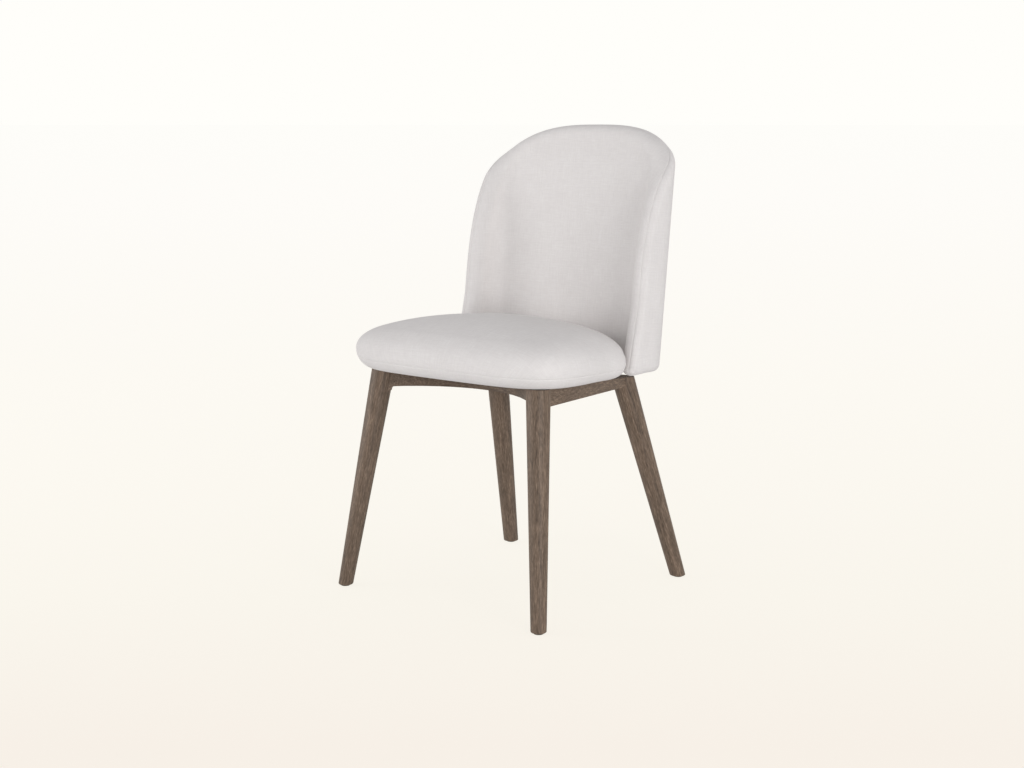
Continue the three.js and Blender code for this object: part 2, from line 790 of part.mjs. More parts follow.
function seatFoamGeometry(tools) {
  const rim = boardInset - touchGap;
  const wall = [...steps(seatBandSteps), ...steps(seatWallSteps)];
  return cut(seatSolid([
    [boardInset, boardTop + foamGap, 1],
    [rim, boardTop + foamGap, 0],
    [rim, touchGap + foamDepth, 0],
    lowerEdge(foamDepth, 0),
    ...wall.map((share, i) => lowerEdge(foamDepth, i < seatBandSteps
      ? share * seamAngle
      : seamAngle + share * (90 * degree - seamAngle))),
    ...shoulder(foamDepth),
    ...crownOver(foamDepth),
  ]), tools);
}

// A flat sheet or board with the pad's outline
function padSheet(inset, low, high, tools) {
  return cut(seatSolid([[inset, low, 1], [inset, low, 0], [inset, high, 0], [inset, high, 1]]), tools);
}

// Fasteners, each along +Z with its head below the origin

function pin(diameter, length, headDiameter, headHeight, grow) {
  const shank = diameter / 2 + grow;
  const head = headDiameter / 2 + grow;
  return turned([
    [0, -headHeight - grow],
    [head, -headHeight - grow],
    [head, grow],
    [shank, grow],
    [shank, length + grow],
    [0, length + grow],
  ], fastenerSides);
}

// The head of a screw stands off its strap by the clearance
function screw(length, grow = 0) {
  return pin(screwDiameter, length, screwHeadDiameter, screwHeadHeight, grow);
}

const boltSeat = railBottomHeight + boltHeadHeight + touchGap; // the shoulder of the counterbore

function bolt(length, grow = 0) {
  return pin(boltDiameter, length, boltHeadDiameter, boltHeadHeight, grow);
}

// A sleeve with a flange, which sits on the board with its barrel in the bolt's hole
function teeNut() {
  const bore = boltDiameter / 2 + touchGap;
  const flange = teeNutFlange / 2;
  const barrel = teeNutBarrel / 2;
  return turned([
    [bore, -teeNutBarrelHeight],
    [barrel, -teeNutBarrelHeight],
    [barrel, 0],
    [flange, 0],
    [flange, teeNutFlangeThickness],
    [bore, teeNutFlangeThickness],
    [bore, -teeNutBarrelHeight],
  ], fastenerSides);
}

function teeNutTool() {
  const flange = teeNutFlange / 2 + touchGap;
  const barrel = teeNutBarrel / 2 + touchGap;
  return turned([
    [0, -teeNutBarrelHeight - touchGap],
    [barrel, -teeNutBarrelHeight - touchGap],
    [barrel, -touchGap],
    [flange, -touchGap],
    [flange, teeNutFlangeThickness + touchGap],
    [0, teeNutFlangeThickness + touchGap],
  ], fastenerSides);
}

// Seat bolts: places in the seat frame's axes, and the head's depth below the frame's top

function boltSpot(name, x, depth) {
  const along = depth - frontLegTopDepth;
  const drop = frameTopAt(depth) - boltSeat;
  return { name, place: new THREE.Vector3(x, along, -drop), length: drop + boardTop };
}

const boltSpots = [
  boltSpot('front_left', -frontBoltOut, -frontBoltForward),
  boltSpot('front_right', frontBoltOut, -frontBoltForward),
  boltSpot('rear_left', -rearBoltOut, rearBoltBack),
  boltSpot('rear_right', rearBoltOut, rearBoltBack),
];

const boltTools = boltSpots.map(({ place, length }) => {
  const shank = bolt(length, touchGap).translate(place.x, place.y, place.z);
  const counterbore = rodBetween(
    new THREE.Vector3(place.x, place.y, place.z - boltHeadHeight - cutOverrun),
    place.clone(),
    boltHeadDiameter / 2 + touchGap,
    fastenerSides,
  );
  return toGeometry(toSolid(shank).add(toSolid(counterbore)));
});
const teeNutTools = boltSpots.map(({ place }) => teeNutTool().translate(place.x, place.y, boardTop + touchGap));

// Brackets: each lies in an upright plane that is square to the shell where it is screwed on

const bracketTurn = bracketGirth / backArcRadius;
const bracketLean = Math.atan(Math.tan(backRecline) * Math.cos(bracketTurn));
const bracketSlope = Math.atan(Math.tan(frameTilt) * Math.cos(bracketTurn));
const shellHollow = bracketWidth ** 2 / (8 * backArcRadius); // of the shell's curve across a strap
const strapOut = shellFrontOut + touchGap + shellHollow + bracketThickness / 2;

// The strap's middle line as [forward, up, angle], where the angle turns the outward side of the bend.
// It starts at the front end of the level leg and ends at the top of the upright leg.
function strapLine(origin, extra = 0) {
  const levelUp = frameTopAt(origin.y) - origin.z - 2 * touchGap - bracketThickness / 2;
  const meetUp = levelUp / (1 + Math.tan(bracketLean) * Math.tan(bracketSlope));
  const meetForward = -meetUp * Math.tan(bracketLean);
  const turn = 90 * degree + bracketSlope - bracketLean;
  const tangent = bracketBendRadius * Math.tan(turn / 2);
  const along = (length) => [
    meetForward + length * Math.cos(bracketSlope),
    meetUp + length * Math.sin(bracketSlope),
    bracketSlope,
  ];
  const up = (length) => [
    meetForward - length * Math.sin(bracketLean),
    meetUp + length * Math.cos(bracketLean),
    bracketSlope - turn,
  ];
  const [startForward, startUp] = along(tangent);
  const centreForward = startForward - bracketBendRadius * Math.sin(bracketSlope);
  const centreUp = startUp + bracketBendRadius * Math.cos(bracketSlope);
  const bend = Array.from({ length: bracketBendSteps + 1 }, (_, i) => {
    const angle = bracketSlope - (turn * i) / bracketBendSteps;
    return [
      centreForward + bracketBendRadius * Math.sin(angle),
      centreUp - bracketBendRadius * Math.cos(angle),
      angle,
    ];
  });
  return { line: [along(bracketReach + extra), ...bend, up(bracketRise + extra)], along, up };
}

function bracketFrame(side) {
  const origin = backPoint(side * bracketGirth, 0, strapOut);
  const forward = new THREE.Vector3(-side * Math.sin(bracketTurn), -Math.cos(bracketTurn), 0);
  const up = new THREE.Vector3(0, 0, 1);
  const matrix = new THREE.Matrix4().makeBasis(forward, up, forward.clone().cross(up)).setPosition(origin);
  return { origin, matrix };
}

function strap(side, grow = 0) {
  const { origin, matrix } = bracketFrame(side);
  const half = bracketThickness / 2 + grow;
  const { line } = strapLine(origin, grow);
  const offset = (sign) => line.map(([forward, up, angle]) =>
    new THREE.Vector2(forward + sign * half * Math.sin(angle), up - sign * half * Math.cos(angle)));
  const shape = new THREE.Shape([...offset(1), ...offset(-1).reverse()]);
  const width = bracketWidth + 2 * grow;
  const geometry = new THREE.ExtrudeGeometry(shape, { depth: width, bevelEnabled: false });
  return closedFrom(geometry.translate(0, 0, -width / 2).applyMatrix4(matrix));
}

// Screws through a strap: up into the seat board, and back into the shell
function strapScrews(side) {
  const { origin, matrix } = bracketFrame(side);
  const { along, up } = strapLine(origin);
  const stand = bracketThickness / 2 + touchGap;
  const spot = ([forward, rise, angle], outward, length) => {
    const way = new THREE.Vector3(Math.sin(angle), -Math.cos(angle), 0).multiplyScalar(outward);
    const place = new THREE.Vector3(forward, rise, 0).addScaledVector(way, -stand).applyMatrix4(matrix);
    way.transformDirection(matrix);
    return { place, turn: new THREE.Quaternion().setFromUnitVectors(new THREE.Vector3(0, 0, 1), way), length };
  };
  const intoBoard = bracketThickness + 3 * touchGap + boardBottom + screwInBoard;
  const intoShell = bracketThickness + 2 * touchGap + shellHollow + screwInShell;
  const fromEnd = [screwFromEnd, screwFromEnd + screwPitch];
  return {
    board: fromEnd.map((distance) => spot(along(bracketReach - distance), -1, intoBoard)),
    shell: fromEnd.map((distance) => spot(up(bracketRise - distance), 1, intoShell)),
  };
}

function screwTool({ place, turn, length }) {
  return screw(length, touchGap).applyQuaternion(turn).translate(place.x, place.y, place.z);
}

// The chair

const chair = new THREE.Group();
const seatGroup = new THREE.Group();
seatGroup.position.set(0, frontLegTopDepth, frameTopHeight);
seatGroup.rotation.x = -frameTilt;
chair.add(seatGroup);

function add(parent, name, geometry, material) {
  const mesh = new THREE.Mesh(geometry, material);
  mesh.name = name;
  parent.add(mesh);
  return mesh;
}

const hands = [['left', -1], ['right', 1]];
const straps = hands.map(([, side]) => strap(side, touchGap));
const screwsOf = Object.fromEntries(hands.map(([hand, side]) => [hand, strapScrews(side)]));
const boardScrews = hands.flatMap(([hand]) => screwsOf[hand].board);
const shellScrews = hands.flatMap(([hand]) => screwsOf[hand].shell);
const intoSeat = seatMatrix.clone().invert();
const boardScrewTools = boardScrews.map((spot) => screwTool(spot).applyMatrix4(intoSeat));
const boltToolsInChair = boltTools.map(inChair);
const dowelTools = (key, name) => dowels.filter((dowel) => dowel[key] === name).map(dowelTool);

for (const [name, leg] of Object.entries(legs)) {
  const stem = glideGeometry(touchGap).translate(leg.foot.x, leg.foot.y, 0);
  add(chair, `leg_${name}`, cut(legGeometry(leg), [frameTopTool, ...dowelTools('leg', name), stem]), walnut);
  add(chair, `glide_${name}`, glideGeometry(), nylon).position.copy(leg.foot);
}

add(chair, 'rail_right', straightRail('rail_right',
  [legTools.front_right, legTools.rear_right, ...dowelTools('rail', 'rail_right')]), walnut);
add(chair, 'rail_left', straightRail('rail_left',
  [legTools.front_left, legTools.rear_left, ...dowelTools('rail', 'rail_left')]), walnut);
add(chair, 'rail_rear', straightRail('rail_rear',
  [legTools.rear_left, legTools.rear_right, ...dowelTools('rail', 'rail_rear'), ...straps]), walnut);
add(chair, 'rail_front', frontRailGeometry([...dowelTools('rail', 'rail_front'), ...boltToolsInChair]), walnut);
for (const [hand, side] of hands) {
  add(chair, `corner_block_${hand}`, blockGeometry(side, boltToolsInChair), beech);
}
for (const dowel of dowels) {
  add(chair, dowel.name, rodBetween(dowel.from, dowel.to, dowelDiameter / 2, dowelSides), beech);
}

add(seatGroup, 'seat_board', padSheet(boardInset, boardBottom, boardTop,
  [...boltTools, ...teeNutTools, ...boardScrewTools]), plywood);
add(seatGroup, 'seat_foam', seatFoamGeometry(teeNutTools), foam);
add(seatGroup, 'seat_cover_top', topCoverGeometry(), linen);
add(seatGroup, 'seat_cover_band', bandGeometry(), linen);
add(seatGroup, 'dust_cover', padSheet(seatTuck + seatTurnUnder + dustCoverIn, touchGap,
  touchGap + dustCoverThickness, [...boltTools, ...boardScrewTools]), dustCloth);
for (const { name, place, length } of boltSpots) {
  add(seatGroup, `seat_bolt_${name}`, bolt(length), steel).position.copy(place);
  add(seatGroup, `tee_nut_${name}`, teeNut(), steel).position.set(place.x, place.y, boardTop + touchGap);
}

add(chair, 'back_shell', backShellGeometry([...straps, ...shellScrews.map(screwTool)]), plywood);
add(chair, 'back_foam', backFoamGeometry([...straps, ...shellScrews.map(screwTool)]), foam);
add(chair, 'back_cover_front', cut(frontCoverGeometry(), straps), linen);
add(chair, 'back_cover_rear', cut(rearCoverGeometry(), straps), linen);
for (const [hand, side] of hands) {
  const { board, shell } = screwsOf[hand];
  add(chair, `back_bracket_${hand}`, cut(strap(side), [...board, ...shell].map(screwTool)), steel);
  for (const [part, spots] of [['seat', board], ['back', shell]]) {
    spots.forEach(({ place, turn, length }, i) => {
      const mesh = add(chair, `${part}_screw_${hand}_${i + 1}`, screw(length), steel);
      mesh.position.copy(place);
      mesh.quaternion.copy(turn);
    });
  }
}

// The origin is under the middle of the whole chair
const whole = new THREE.Box3().setFromObject(chair);
chair.position.y = -(whole.min.y + whole.max.y) / 2;

export default chair;
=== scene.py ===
"""Upholstered dining chair: a crowned seat and an arched, wrap-round back on splayed wooden legs.

Metres, +Z up. The sitter faces -Y, and the floor is at zero. The values headed "As in the part" repeat
its sizes, and all others are used only here.
"""

import math

import bmesh
import bpy
import numpy as np
from mathutils import Matrix, Vector


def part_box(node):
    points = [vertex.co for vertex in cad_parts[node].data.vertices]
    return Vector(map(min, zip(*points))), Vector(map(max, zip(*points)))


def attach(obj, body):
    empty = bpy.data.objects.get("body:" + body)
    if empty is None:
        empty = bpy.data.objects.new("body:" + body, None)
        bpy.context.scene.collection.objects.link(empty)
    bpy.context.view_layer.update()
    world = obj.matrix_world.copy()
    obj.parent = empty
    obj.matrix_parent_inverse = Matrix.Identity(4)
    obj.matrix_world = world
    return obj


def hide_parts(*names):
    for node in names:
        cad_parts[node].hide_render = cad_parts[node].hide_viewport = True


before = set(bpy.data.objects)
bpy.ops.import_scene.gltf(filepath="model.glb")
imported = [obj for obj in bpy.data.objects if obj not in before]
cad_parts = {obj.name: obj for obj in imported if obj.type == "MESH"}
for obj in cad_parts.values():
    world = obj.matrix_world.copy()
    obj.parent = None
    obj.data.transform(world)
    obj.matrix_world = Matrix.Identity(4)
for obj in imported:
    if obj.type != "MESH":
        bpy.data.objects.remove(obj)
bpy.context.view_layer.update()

MM = 0.001
DEGREE = math.pi / 180

# As in the part: stance and legs
FRONT_FOOT_OUT = 235 * MM
FRONT_FOOT_FORWARD = 228 * MM
REAR_FOOT_OUT = 210 * MM
REAR_FOOT_BACK = 228 * MM
FRONT_SPLAY_SIDE = 6.9 * DEGREE
FRONT_SPLAY_FORE = 8.1 * DEGREE
REAR_SPLAY_SIDE = 8 * DEGREE
REAR_SPLAY_AFT = 15.7 * DEGREE
FRONT_LEG_RADII = (27 * MM / 2, 42 * MM / 2)
REAR_LEG_RADII = (29 * MM / 2, 43 * MM / 2)
LEG_SQUARENESS = 2.2
FOOT_ROUND = 2.4 * MM
GLIDE_RADIUS = 8.5 * MM
GLIDE_THICKNESS = 2 * MM
GLIDE_ROUND = 0.7 * MM

# As in the part: seat frame
FRAME_TOP = 411.7 * MM
FRAME_TILT = 2.8 * DEGREE
FRAME_ORIGIN_DEPTH = -FRONT_FOOT_FORWARD + FRAME_TOP * math.tan(FRONT_SPLAY_FORE)
TOUCH_GAP = 0.3 * MM

# As in the part: seat pad
SEAT_FRONT_WIDTH = 484 * MM
SEAT_REAR_WIDTH = 292 * MM
SEAT_TAPER_POWER = 2.5
SEAT_FRONT = 245 * MM
SEAT_REAR = 163 * MM
SEAT_FRONT_SQUARENESS = 5.6
SEAT_REAR_SQUARENESS = 4
SEAT_FRONT_BOW = 9 * MM
SEAT_EDGE_HEIGHT = 41 * MM
SEAT_TUCK = 32 * MM
SEAT_SHOULDER_RISE = 43 * MM
SEAT_SHOULDER_WIDTH = 70 * MM
SEAT_SHOULDER_TURN = 65 * DEGREE
SEAT_CROWN = 28 * MM
SEAT_CROWN_FORWARD = 38 * MM
SEAT_SEAM_HEIGHT = 20 * MM
SEAT_TURN_UNDER = 14 * MM
COVER_THICKNESS = 1.2 * MM
DUST_COVER_IN = 4 * MM
DUST_COVER_THICKNESS = 0.8 * MM

# As in the part: back
BACK_BOTTOM = 401.7 * MM
BACK_HEIGHT = 460.5 * MM
BACK_RECLINE = 6.5 * DEGREE
BACK_BASE_DEPTH = 188.5 * MM
BACK_HALF_GIRTH = 286 * MM
BACK_SIDE_TAPER = 0.122
BACK_STRAIGHT = 120 * MM
BACK_ARCH_SQUARENESS = 2.8
BACK_THICKNESS = 39 * MM
BACK_EDGE_RADIUS = 22 * MM
BACK_REAR_EDGE_RADIUS = 11 * MM
BACK_ARC_RADIUS = 530 * MM
BACK_ARC_GIRTH = 177 * MM
WING_BEND_RADIUS = 42 * MM
WING_BEND_ANGLE = 73.2 * DEGREE
BACK_CROWN = 5 * MM
BACK_SEAM_DEPTH = 27 * MM
ARCH_CORNER_SHARE = 0.7

# Camera, fitted to the photograph
LENS_MM = 58.008
SENSOR_MM = 36
CAMERA_PLACE = (1.9488, -2.337, 0.8596)
CAMERA_YAW = 0.69909
CAMERA_PITCH = 0.156162

# Wooden pieces
LEG_SIDES = 56
SOLE_HEIGHT = 2.3 * MM
LEG_OVERRUN = 12 * MM
FOOT_ROUND_STEPS = 4
LEG_SMOOTH_ANGLE = 40 * DEGREE
RAIL_ROUND = 1.1 * MM
RAIL_ROUND_STEPS = 3
RAIL_EDGE_ANGLE = 50 * DEGREE
MERGE_DISTANCE = 0.01 * MM
FLAT_ANGLE = 1 * DEGREE
SMOOTH_ANGLE = 35 * DEGREE
GLIDE_SIDES = 40
GLIDE_ROUND_STEPS = 3
ROUND_PROFILE = 0.5

# Wood grain: where a piece is cut from, as a place in the noise and its step from piece to piece
FRONT_LEG_CUT = (1.3, 0.4)
REAR_LEG_CUT = (3.1, 0.7)
RAIL_CUT = (5.2, 0.9)
CUT_DIRECTION = (1, 2, 3)
ACROSS_HINT = (0.3, 1, 0.2)
CROSS_RAIL_ALONG = (1, 0, 0)
SIDE_RAIL_ALONG = (0.12, 1, 0)

# Seat cushion: its swell ahead of the wings, and the wing tips that press it in
SIDE_SWELL = 13 * MM
LOW_SWELL_SHARE = 1.2
SWELL_FROM = 120 * MM
SWELL_DEPTH = 52 * MM
SWELL_LENGTH = 42 * MM
WING_TIP_DEPTH = 61 * MM
WING_TIP_LEAN = 0.236
WING_INNER = 181 * MM
PRESS_GAP = 2.2 * MM
PRESS_SLOPE = 1.2
SEAT_SIDES = 192
OUTLINE_SAMPLES = 6001
BAND_RINGS = 11
ABOVE_SEAM_RINGS = 9
SHOULDER_RINGS = 14
CROWN_RINGS = 8
CROWN_RINGS_SHARE = 0.3

# Back cushion: tighter wing corners than in the part, a larger round under the rear edge, tips that
# hang lower, and bends that the padding eases
BACK_CORNER_RADIUS = 14 * MM
LOW_EDGE_RADIUS = 15 * MM
TIP_DROP = 9 * MM
TIP_DROP_START = 212 * MM
BEND_EASE = 150 * MM
BEND_STEP = 0.5 * MM
BEND_REACH_SHARE = 1.6
BACK_COLUMNS = 72
COLUMN_SPREAD = 60 * DEGREE
BACK_SIDE_ROWS = 22
BACK_ARCH_ROWS = 44
CORNER_POINTS = 5
FRONT_EDGE_STEPS = 10
REAR_EDGE_STEPS = 8
EDGE_WALL_SHARES = (0.5, 1)
PINNED_ROWS = 6

# Seams
GROOVE_HALF_WIDTH = 0.9 * MM
GROOVE_DEPTH = 1.3 * MM

# Swelling of the covers
COVER_PRESSURE = 3
COVER_TRAVEL = 3 * MM
COVER_FRAMES = 20
COVER_QUALITY = 4
WRINKLE_ROUNDS = 30
LEAST_MOVE = 1e-9

# Linen: waves per metre along and across the threads
WEFT_WAVES = (70, 780, 1)
WARP_WAVES = (780, 70, 1)
WEFT_SLUB_WAVES = (26, 340, 1)
WARP_SLUB_WAVES = (340, 26, 1)
CLOUD_WAVES = 34
BROAD_WAVES = 7
THREAD_SHARE = 0.34
SLUB_SHARE = 0.3
CLOUD_SHARE = 0.22
BROAD_SHARE = 0.16
WEAVE_OFFSET = 0.33
LINEN_STOPS = ((0.3, (217, 213, 211)), (0.5, (223, 219, 217)), (0.7, (229, 226, 224)))
LINEN_BUMP = (0.15, 0.4 * MM)
LINEN_ROUGHNESS = (0.1, 0.86)
LINEN_SHADER = {"Sheen_Weight": 0.12, "Sheen_Roughness": 0.6, "Specular_IOR_Level": 0.2}

# Walnut: waves per metre along and across the grain
FIGURE_WAVES = (6, 60, 60)
FIBRE_WAVES = (30, 420, 420)
PORE_WAVES = (110, 900, 900)
FIGURE_SHARE = 0.28
FIBRE_SHARE = 0.55
PORE_SHARE = 0.42
GRAIN_OFFSET = 0.12
WALNUT_STOPS = ((0.34, (64, 51, 41)), (0.45, (93, 78, 65)), (0.55, (114, 96, 81)),
                (0.68, (147, 127, 109)))
WALNUT_BUMP = (0.25, 0.4 * MM)
WALNUT_ROUGHNESS = (0.2, 0.45)
WALNUT_SPECULAR = 0.35

# Finishes of one noise: roughness is given as spread and base, and bump as strength and depth
PLAIN_FINISHES = {
    "nylon": {
        "noise": {"scale": 900, "detail": 2},
        "stops": ((0.3, (66, 58, 50)), (0.7, (82, 73, 64))),
        "roughness": (0.1, 0.45),
        "bump": (0.15, 0.2 * MM),
    },
    "dust_cloth": {
        "noise": {"scale": 500, "detail": 4, "roughness": 0.7},
        "stops": ((0.35, (34, 32, 30)), (0.65, (54, 51, 48))),
        "roughness": (0.1, 0.85),
        "bump": (0.3, 0.4 * MM),
    },
    "birch_plywood": {
        "noise": {"scale": 1, "stretch": (18, 160, 260), "detail": 4, "roughness": 0.6},
        "stops": ((0.35, (186, 152, 106)), (0.65, (216, 188, 146))),
        "roughness": (0.2, 0.55),
        "bump": (0.2, 0.3 * MM),
    },
    "beech": {
        "noise": {"scale": 1, "stretch": (60, 60, 420), "detail": 4, "roughness": 0.6},
        "stops": ((0.35, (196, 160, 118)), (0.65, (222, 190, 150))),
        "roughness": (0.2, 0.55),
        "bump": (0.2, 0.3 * MM),
    },
    "zinc_plated_steel": {
        "noise": {"scale": 220, "detail": 3},
        "stops": ((0.35, (168, 170, 172)), (0.65, (196, 197, 198))),
        "roughness": (0.25, 0.25),
        "Metallic": 1,
    },
}

# What the CAD nodes that stay in place are made of, by how their names start
CARRIED_FINISHES = {
    "seat_board": "birch_plywood",
    "back_shell": "birch_plywood",
    "corner_block_": "beech",
    "dowel_": "beech",
    "seat_bolt_": "zinc_plated_steel",
    "tee_nut_": "zinc_plated_steel",
    "seat_screw_": "zinc_plated_steel",
    "back_screw_": "zinc_plated_steel",
    "back_bracket_": "zinc_plated_steel",
}

# Light and ground
FLOOR_SIZE = 4000
KEY_PLACE = (3.6, -1.7, 0.82)
KEY_SIZE = 1.6
KEY_POWER = 66
FILL_PLACE = (-2.8, -2.4, 0.82)
FILL_SIZE = 1.6
FILL_POWER = 43
AIM = (0, 0, 0.5)
AMBIENT = 0.55
AMBIENT_COLOUR = (253, 253, 255)
SKY_COLOUR = (255, 254, 250)
BOUNCE_COLOUR = (247, 246, 245)
FLOOR_STOPS = ((0, SKY_COLOUR), (0.12, (255, 253, 249)), (0.4, (253, 250, 243)), (0.75, (249, 245, 236)),
               (1, (246, 239, 230)))
FLOOR_SHADOW_SHARE = 0.12
FLOOR_GLOW = 1.05
NEAR_FLOOR = 2.2
FLOOR_FADE_SHARE = 0.6
CAMERA_TO_MIDDLE = 3.04

# The part is centred on its own box, so its front feet say how far it was moved
foot_low, foot_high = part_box("glide_front_right")
SHIFT = (foot_low[1] + foot_high[1]) / 2 + FRONT_FOOT_FORWARD


# Camera first

def add_camera():
    camera = bpy.data.objects.new("camera", bpy.data.cameras.new("camera"))
    bpy.context.scene.collection.objects.link(camera)
    camera.data.lens = LENS_MM
    camera.data.sensor_width = SENSOR_MM
    camera.data.sensor_fit = "HORIZONTAL"
    camera.data.clip_end = FLOOR_SIZE * 2
    camera.location = (CAMERA_PLACE[0], CAMERA_PLACE[1] + SHIFT, CAMERA_PLACE[2])
    camera.rotation_euler = (math.pi / 2 - CAMERA_PITCH, 0, CAMERA_YAW)
    bpy.context.scene.camera = camera


add_camera()


# Shader graphs

class Value:
    """An output socket, on which arithmetic adds Math nodes."""

    def __init__(self, graph, socket):
        self.graph = graph
        self.socket = socket

    def math(self, operation, other, turned=False):
        pair = (other, self) if turned else (self, other)
        return self.graph.node("ShaderNodeMath", {"operation": operation}, dict(enumerate(pair)))

    def __add__(self, other):
        return self.math("ADD", other)

    def __sub__(self, other):
        return self.math("SUBTRACT", other)

    def __rsub__(self, other):
        return self.math("SUBTRACT", other, turned=True)

    def __mul__(self, other):
        return self.math("MULTIPLY", other)

    def __rtruediv__(self, other):
        return self.math("DIVIDE", other, turned=True)

    __radd__ = __add__
    __rmul__ = __mul__


class Graph:
    """The nodes of one material, or of the world."""

    def __init__(self, name, world=None):
        self.material = world or bpy.data.materials.new(name)
        self.material.use_nodes = True
        self.tree = self.material.node_tree
        self.tree.nodes.clear()

    def node(self, kind, settings=None, inputs=None, output=0):
        """Adds a node. Its settings come first, then its sockets' values or links."""
        node = self.tree.nodes.new(kind)
        for name, value in (settings or {}).items():
            if name == "stops":
                ramp = node.color_ramp
                while len(ramp.elements) < len(value):
                    ramp.elements.new(1)
                for element, (place, colour) in zip(ramp.elements, value):
                    element.position = place
                    element.color = srgb(*colour)
            else:
                setattr(node, name, value)
        for name, value in (inputs or {}).items():
            if isinstance(value, Value):
                self.tree.links.new(value.socket, node.inputs[name])
            else:
                node.inputs[name].default_value = value
        return None if output is None else Value(self, node.outputs[output])

    def noise(self, place, scale, stretch=(1, 1, 1), detail=3, roughness=0.5):
        moved = self.node("ShaderNodeMapping", {}, {"Vector": place, "Scale": stretch})
        return self.node("ShaderNodeTexNoise", {},
                         {"Vector": moved, "Scale": scale, "Detail": detail, "Roughness": roughness})

    def ramp(self, share, stops):
        return self.node("ShaderNodeValToRGB", {"stops": stops}, {0: share})

    def bump(self, strength, depth, height):
        return self.node("ShaderNodeBump", {},
                         {"Strength": strength, "Distance": depth, "Height": height})

    def object_place(self):
        return self.node("ShaderNodeTexCoord", output=3)

    def surface(self, shader):
        self.node("ShaderNodeOutputMaterial", {}, {"Surface": shader}, output=None)
        return self.material

    def finish(self, **sockets):
        """Ends in a Principled shader. Socket names have underscores for spaces."""
        inputs = {name.replace("_", " "): value for name, value in sockets.items()}
        return self.surface(self.node("ShaderNodeBsdfPrincipled", {}, inputs))


def srgb(red, green, blue):
    """A colour as it is seen on screen, made linear."""
    def linear(level):
        share = level / 255
        return share / 12.92 if share <= 0.04045 else ((share + 0.055) / 1.055) ** 2.4
    return (linear(red), linear(green), linear(blue), 1)


# Finishes

def linen_finish():
    """Plain weave in two directions on the cover's own UV map, which is in metres."""
    g = Graph("linen")
    flat = g.node("ShaderNodeUVMap", {"uv_map": "cloth"})
    weft = g.noise(flat, 1, WEFT_WAVES, detail=2)
    warp = g.noise(flat, 1, WARP_WAVES, detail=2)
    weft_slub = g.noise(flat, 1, WEFT_SLUB_WAVES)
    warp_slub = g.noise(flat, 1, WARP_SLUB_WAVES)
    cloud = g.noise(g.object_place(), CLOUD_WAVES, detail=4, roughness=0.6)
    broad = g.noise(g.object_place(), BROAD_WAVES, detail=2)
    weave = (weft + warp) * THREAD_SHARE + (weft_slub + warp_slub) * SLUB_SHARE
    streaks = weave + cloud * CLOUD_SHARE + broad * BROAD_SHARE - WEAVE_OFFSET
    spread, base = LINEN_ROUGHNESS
    return g.finish(Base_Color=g.ramp(streaks, LINEN_STOPS), Roughness=cloud * spread + base,
                    Normal=g.bump(*LINEN_BUMP, streaks), **LINEN_SHADER)


def walnut_finish():
    """Straight grain along each piece, on its own grain attribute, which is in metres."""
    g = Graph("walnut")
    place = g.node("ShaderNodeAttribute", {"attribute_name": "grain"}, output=1)
    figure = g.noise(place, 1, FIGURE_WAVES, detail=4, roughness=0.55)
    fibre = g.noise(place, 1, FIBRE_WAVES, detail=4, roughness=0.65)
    pore = g.noise(place, 1, PORE_WAVES, detail=2)
    grain = figure * FIGURE_SHARE + fibre * FIBRE_SHARE + pore * PORE_SHARE - GRAIN_OFFSET
    spread, base = WALNUT_ROUGHNESS
    return g.finish(Base_Color=g.ramp(grain, WALNUT_STOPS), Roughness=grain * spread + base,
                    Normal=g.bump(*WALNUT_BUMP, fibre + pore), Specular_IOR_Level=WALNUT_SPECULAR)


def plain_finish(name, noise, stops, roughness, bump=None, **sockets):
    g = Graph(name)
    grain = g.noise(g.object_place(), **noise)
    spread, base = roughness
    if bump:
        sockets["Normal"] = g.bump(*bump, grain)
    return g.finish(Base_Color=g.ramp(grain, stops), Roughness=grain * spread + base, **sockets)


linen = linen_finish()
walnut = walnut_finish()
plain_finishes = {name: plain_finish(name, **settings) for name, settings in PLAIN_FINISHES.items()}


# Pieces

def pick(piece=None):
    """Selects one piece, or none."""
    if bpy.context.mode != "OBJECT":
        bpy.ops.object.mode_set(mode="OBJECT")
    bpy.ops.object.select_all(action="DESELECT")
    if piece:
        bpy.context.view_layer.objects.active = piece
        piece.select_set(True)


def dress(piece, material, slot, *nodes):
    """Gives a piece its finish and body, and hides the CAD nodes that it stands for."""
    piece.data.materials.clear()
    piece.data.materials.append(material)
    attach(piece, "root")
    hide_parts(*nodes)


def lay_grain(piece, origin, along, cut):
    """Stores each point's place along and across the grain, in metres."""
    along = Vector(along).normalized()
    across = along.cross(Vector(ACROSS_HINT)).normalized()
    turn = Matrix((along, across, along.cross(across)))
    start = Vector([cut * step for step in CUT_DIRECTION])
    grain = piece.data.attributes.new("grain", "FLOAT_VECTOR", "POINT")
    for vertex, entry in zip(piece.data.vertices, grain.data):
        entry.vector = turn @ (vertex.co - Vector(origin)) + start


def mesh_piece(name, points, faces):
    mesh = bpy.data.meshes.new(name)
    mesh.from_pydata([tuple(point) for point in points], [],
                     [tuple(int(index) for index in face) for face in faces])
    mesh.update()
    piece = bpy.data.objects.new(name, mesh)
    bpy.context.scene.collection.objects.link(piece)
    return piece


def smooth(piece, angle=None):
    pick(piece)
    if angle is None:
        bpy.ops.object.shade_smooth()
    else:
        bpy.ops.object.shade_smooth_by_angle(angle=angle)


def apply_modifiers(piece):
    pick(piece)
    for modifier in list(piece.modifiers):
        bpy.ops.object.modifier_apply(modifier=modifier.name)


